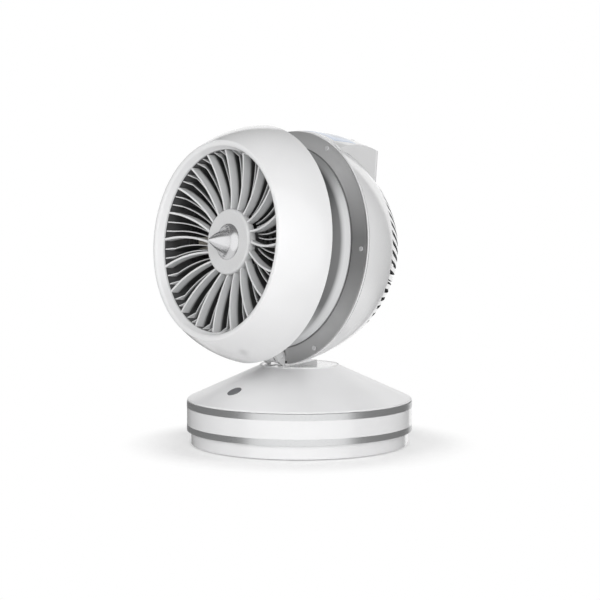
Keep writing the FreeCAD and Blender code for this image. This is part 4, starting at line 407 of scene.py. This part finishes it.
def seen_directly(tree):
    """1 for rays from the camera, mirrors and glass, 0 for the light that falls on things."""
    path = tree.nodes.new("ShaderNodeLightPath")
    both = tree.nodes.new("ShaderNodeMath")
    both.operation = "MAXIMUM"
    every = tree.nodes.new("ShaderNodeMath")
    every.operation = "MAXIMUM"
    tree.links.new(path.outputs["Is Camera Ray"], both.inputs[0])
    tree.links.new(path.outputs["Is Transmission Ray"], both.inputs[1])
    tree.links.new(both.outputs[0], every.inputs[0])
    tree.links.new(path.outputs["Is Glossy Ray"], every.inputs[1])
    return every.outputs[0]


def make_floor():
    """Pale floor that holds the object's cast shadow and, near the object, a painted pale grey shadow
    that fades to plain white to the eye further out.
    """
    floor = plane("floor", FLOOR_SIZE, FLOOR_HEIGHT)
    made = bpy.data.materials.new("floor")
    made.use_nodes = True
    tree = made.node_tree
    tree.nodes.clear()
    out = tree.nodes.new("ShaderNodeOutputMaterial")
    matt = tree.nodes.new("ShaderNodeBsdfDiffuse")
    matt.inputs["Color"].default_value = FLOOR_COLOUR
    glow = tree.nodes.new("ShaderNodeEmission")
    both = tree.nodes.new("ShaderNodeAddShader")
    white = tree.nodes.new("ShaderNodeEmission")
    white.inputs["Strength"].default_value = 1.0
    far = tree.nodes.new("ShaderNodeMixShader")
    shown = seen_directly(tree)
    level = link_math(tree, "MULTIPLY", shown, FLOOR_GLOW)
    tree.links.new(level, glow.inputs["Strength"])
    tree.links.new(matt.outputs[0], both.inputs[0])
    tree.links.new(glow.outputs[0], both.inputs[1])
    place = tree.nodes.new("ShaderNodeTexCoord")
    reach = link_vector(tree, "LENGTH", place.outputs["Object"], None, "Value")
    # The painted shadow round the object fades to plain white between FLOOR_NEAR and FLOOR_FAR
    fade = tree.nodes.new("ShaderNodeMapRange")
    fade.interpolation_type = "SMOOTHSTEP"
    fade.inputs["From Min"].default_value = FLOOR_NEAR
    fade.inputs["From Max"].default_value = FLOOR_FAR
    tree.links.new(reach, fade.inputs["Value"])
    outer = link_math(tree, "MULTIPLY", fade.outputs["Result"], shown)
    tree.links.new(outer, far.inputs["Fac"])
    tree.links.new(both.outputs[0], far.inputs[1])
    tree.links.new(white.outputs[0], far.inputs[2])
    tree.links.new(far.outputs[0], out.inputs["Surface"])
    floor.data.materials.append(made)
    floor.visible_glossy = False


def blend_values(tree, factor, low, high):
    mix = tree.nodes.new("ShaderNodeMix")
    mix.data_type = "FLOAT"
    tree.links.new(factor, mix.inputs["Factor"])
    for socket, value in (("A", low), ("B", high)):
        if isinstance(value, float):
            mix.inputs[socket].default_value = value
        else:
            tree.links.new(value, mix.inputs[socket])
    return mix.outputs["Result"]


def make_world():
    """White room: even light, which mirrors see as bright panels before, behind and below the object."""
    world = bpy.data.worlds.new("studio")
    bpy.context.scene.world = world
    world.use_nodes = True
    tree = world.node_tree
    back = tree.nodes["Background"]
    back.inputs["Color"].default_value = (1.0, 1.0, 1.0, 1.0)
    path = tree.nodes.new("ShaderNodeLightPath")
    place = tree.nodes.new("ShaderNodeTexCoord")
    way = place.outputs["Generated"]

    def panel(azimuth, elevation, outer, inner, level):
        """Bright round panel: full within its inner angle, gone at its outer one."""
        middle = direction(math.radians(azimuth), math.radians(elevation))
        facing = link_vector(tree, "DOT_PRODUCT", way, middle, "Value")
        fade = tree.nodes.new("ShaderNodeMapRange")
        fade.interpolation_type = "SMOOTHSTEP"
        fade.inputs["From Min"].default_value = math.cos(math.radians(outer))
        fade.inputs["From Max"].default_value = math.cos(math.radians(inner))
        fade.inputs["To Max"].default_value = level
        tree.links.new(facing, fade.inputs["Value"])
        return fade.outputs["Result"]

    seen = ROOM_MIRROR
    for place_of_panel in PANELS:
        seen = link_math(tree, "MAXIMUM", panel(*place_of_panel), seen)
    apart = tree.nodes.new("ShaderNodeSeparateXYZ")
    tree.links.new(way, apart.inputs["Vector"])
    room = link_math(tree, "MULTIPLY_ADD", apart.outputs["Z"], ROOM_TOP - ROOM_LIGHT)
    room.node.inputs[2].default_value = ROOM_LIGHT
    mirrored = blend_values(tree, path.outputs["Is Glossy Ray"], room, seen)
    level = blend_values(tree, path.outputs["Is Camera Ray"], mirrored, 1.0)
    tree.links.new(level, back.inputs["Strength"])


def make_lamp(name, azimuth, elevation, size, power):
    lamp = bpy.data.lights.new(name, "AREA")
    lamp.shape = "DISK"
    lamp.size = size
    lamp.energy = power
    made = bpy.data.objects.new(name, lamp)
    bpy.context.scene.collection.objects.link(made)
    way = direction(math.radians(azimuth), math.radians(elevation))
    made.location = LAMP_TARGET + way * LAMP_DISTANCE
    made.rotation_euler = (-way).to_track_quat("-Z", "Y").to_euler()
    made.visible_glossy = False


def make_camera():
    lens = bpy.data.cameras.new("camera")
    lens.lens = CAMERA_LENS
    lens.sensor_width = 36.0
    lens.shift_x = CAMERA_SHIFT
    lens.clip_start = 0.05
    lens.clip_end = 40.0
    made = bpy.data.objects.new("camera", lens)
    bpy.context.scene.collection.objects.link(made)
    way = direction(CAMERA_AZIMUTH, CAMERA_PITCH)
    made.location = CAMERA_TARGET + way * CAMERA_DISTANCE
    made.rotation_euler = (-way).to_track_quat("-Z", "Y").to_euler()
    bpy.context.scene.camera = made


make_floor()
make_world()
for lamp in LAMPS:
    make_lamp(*lamp)
make_camera()
bpy.context.scene.view_settings.view_transform = "Standard"
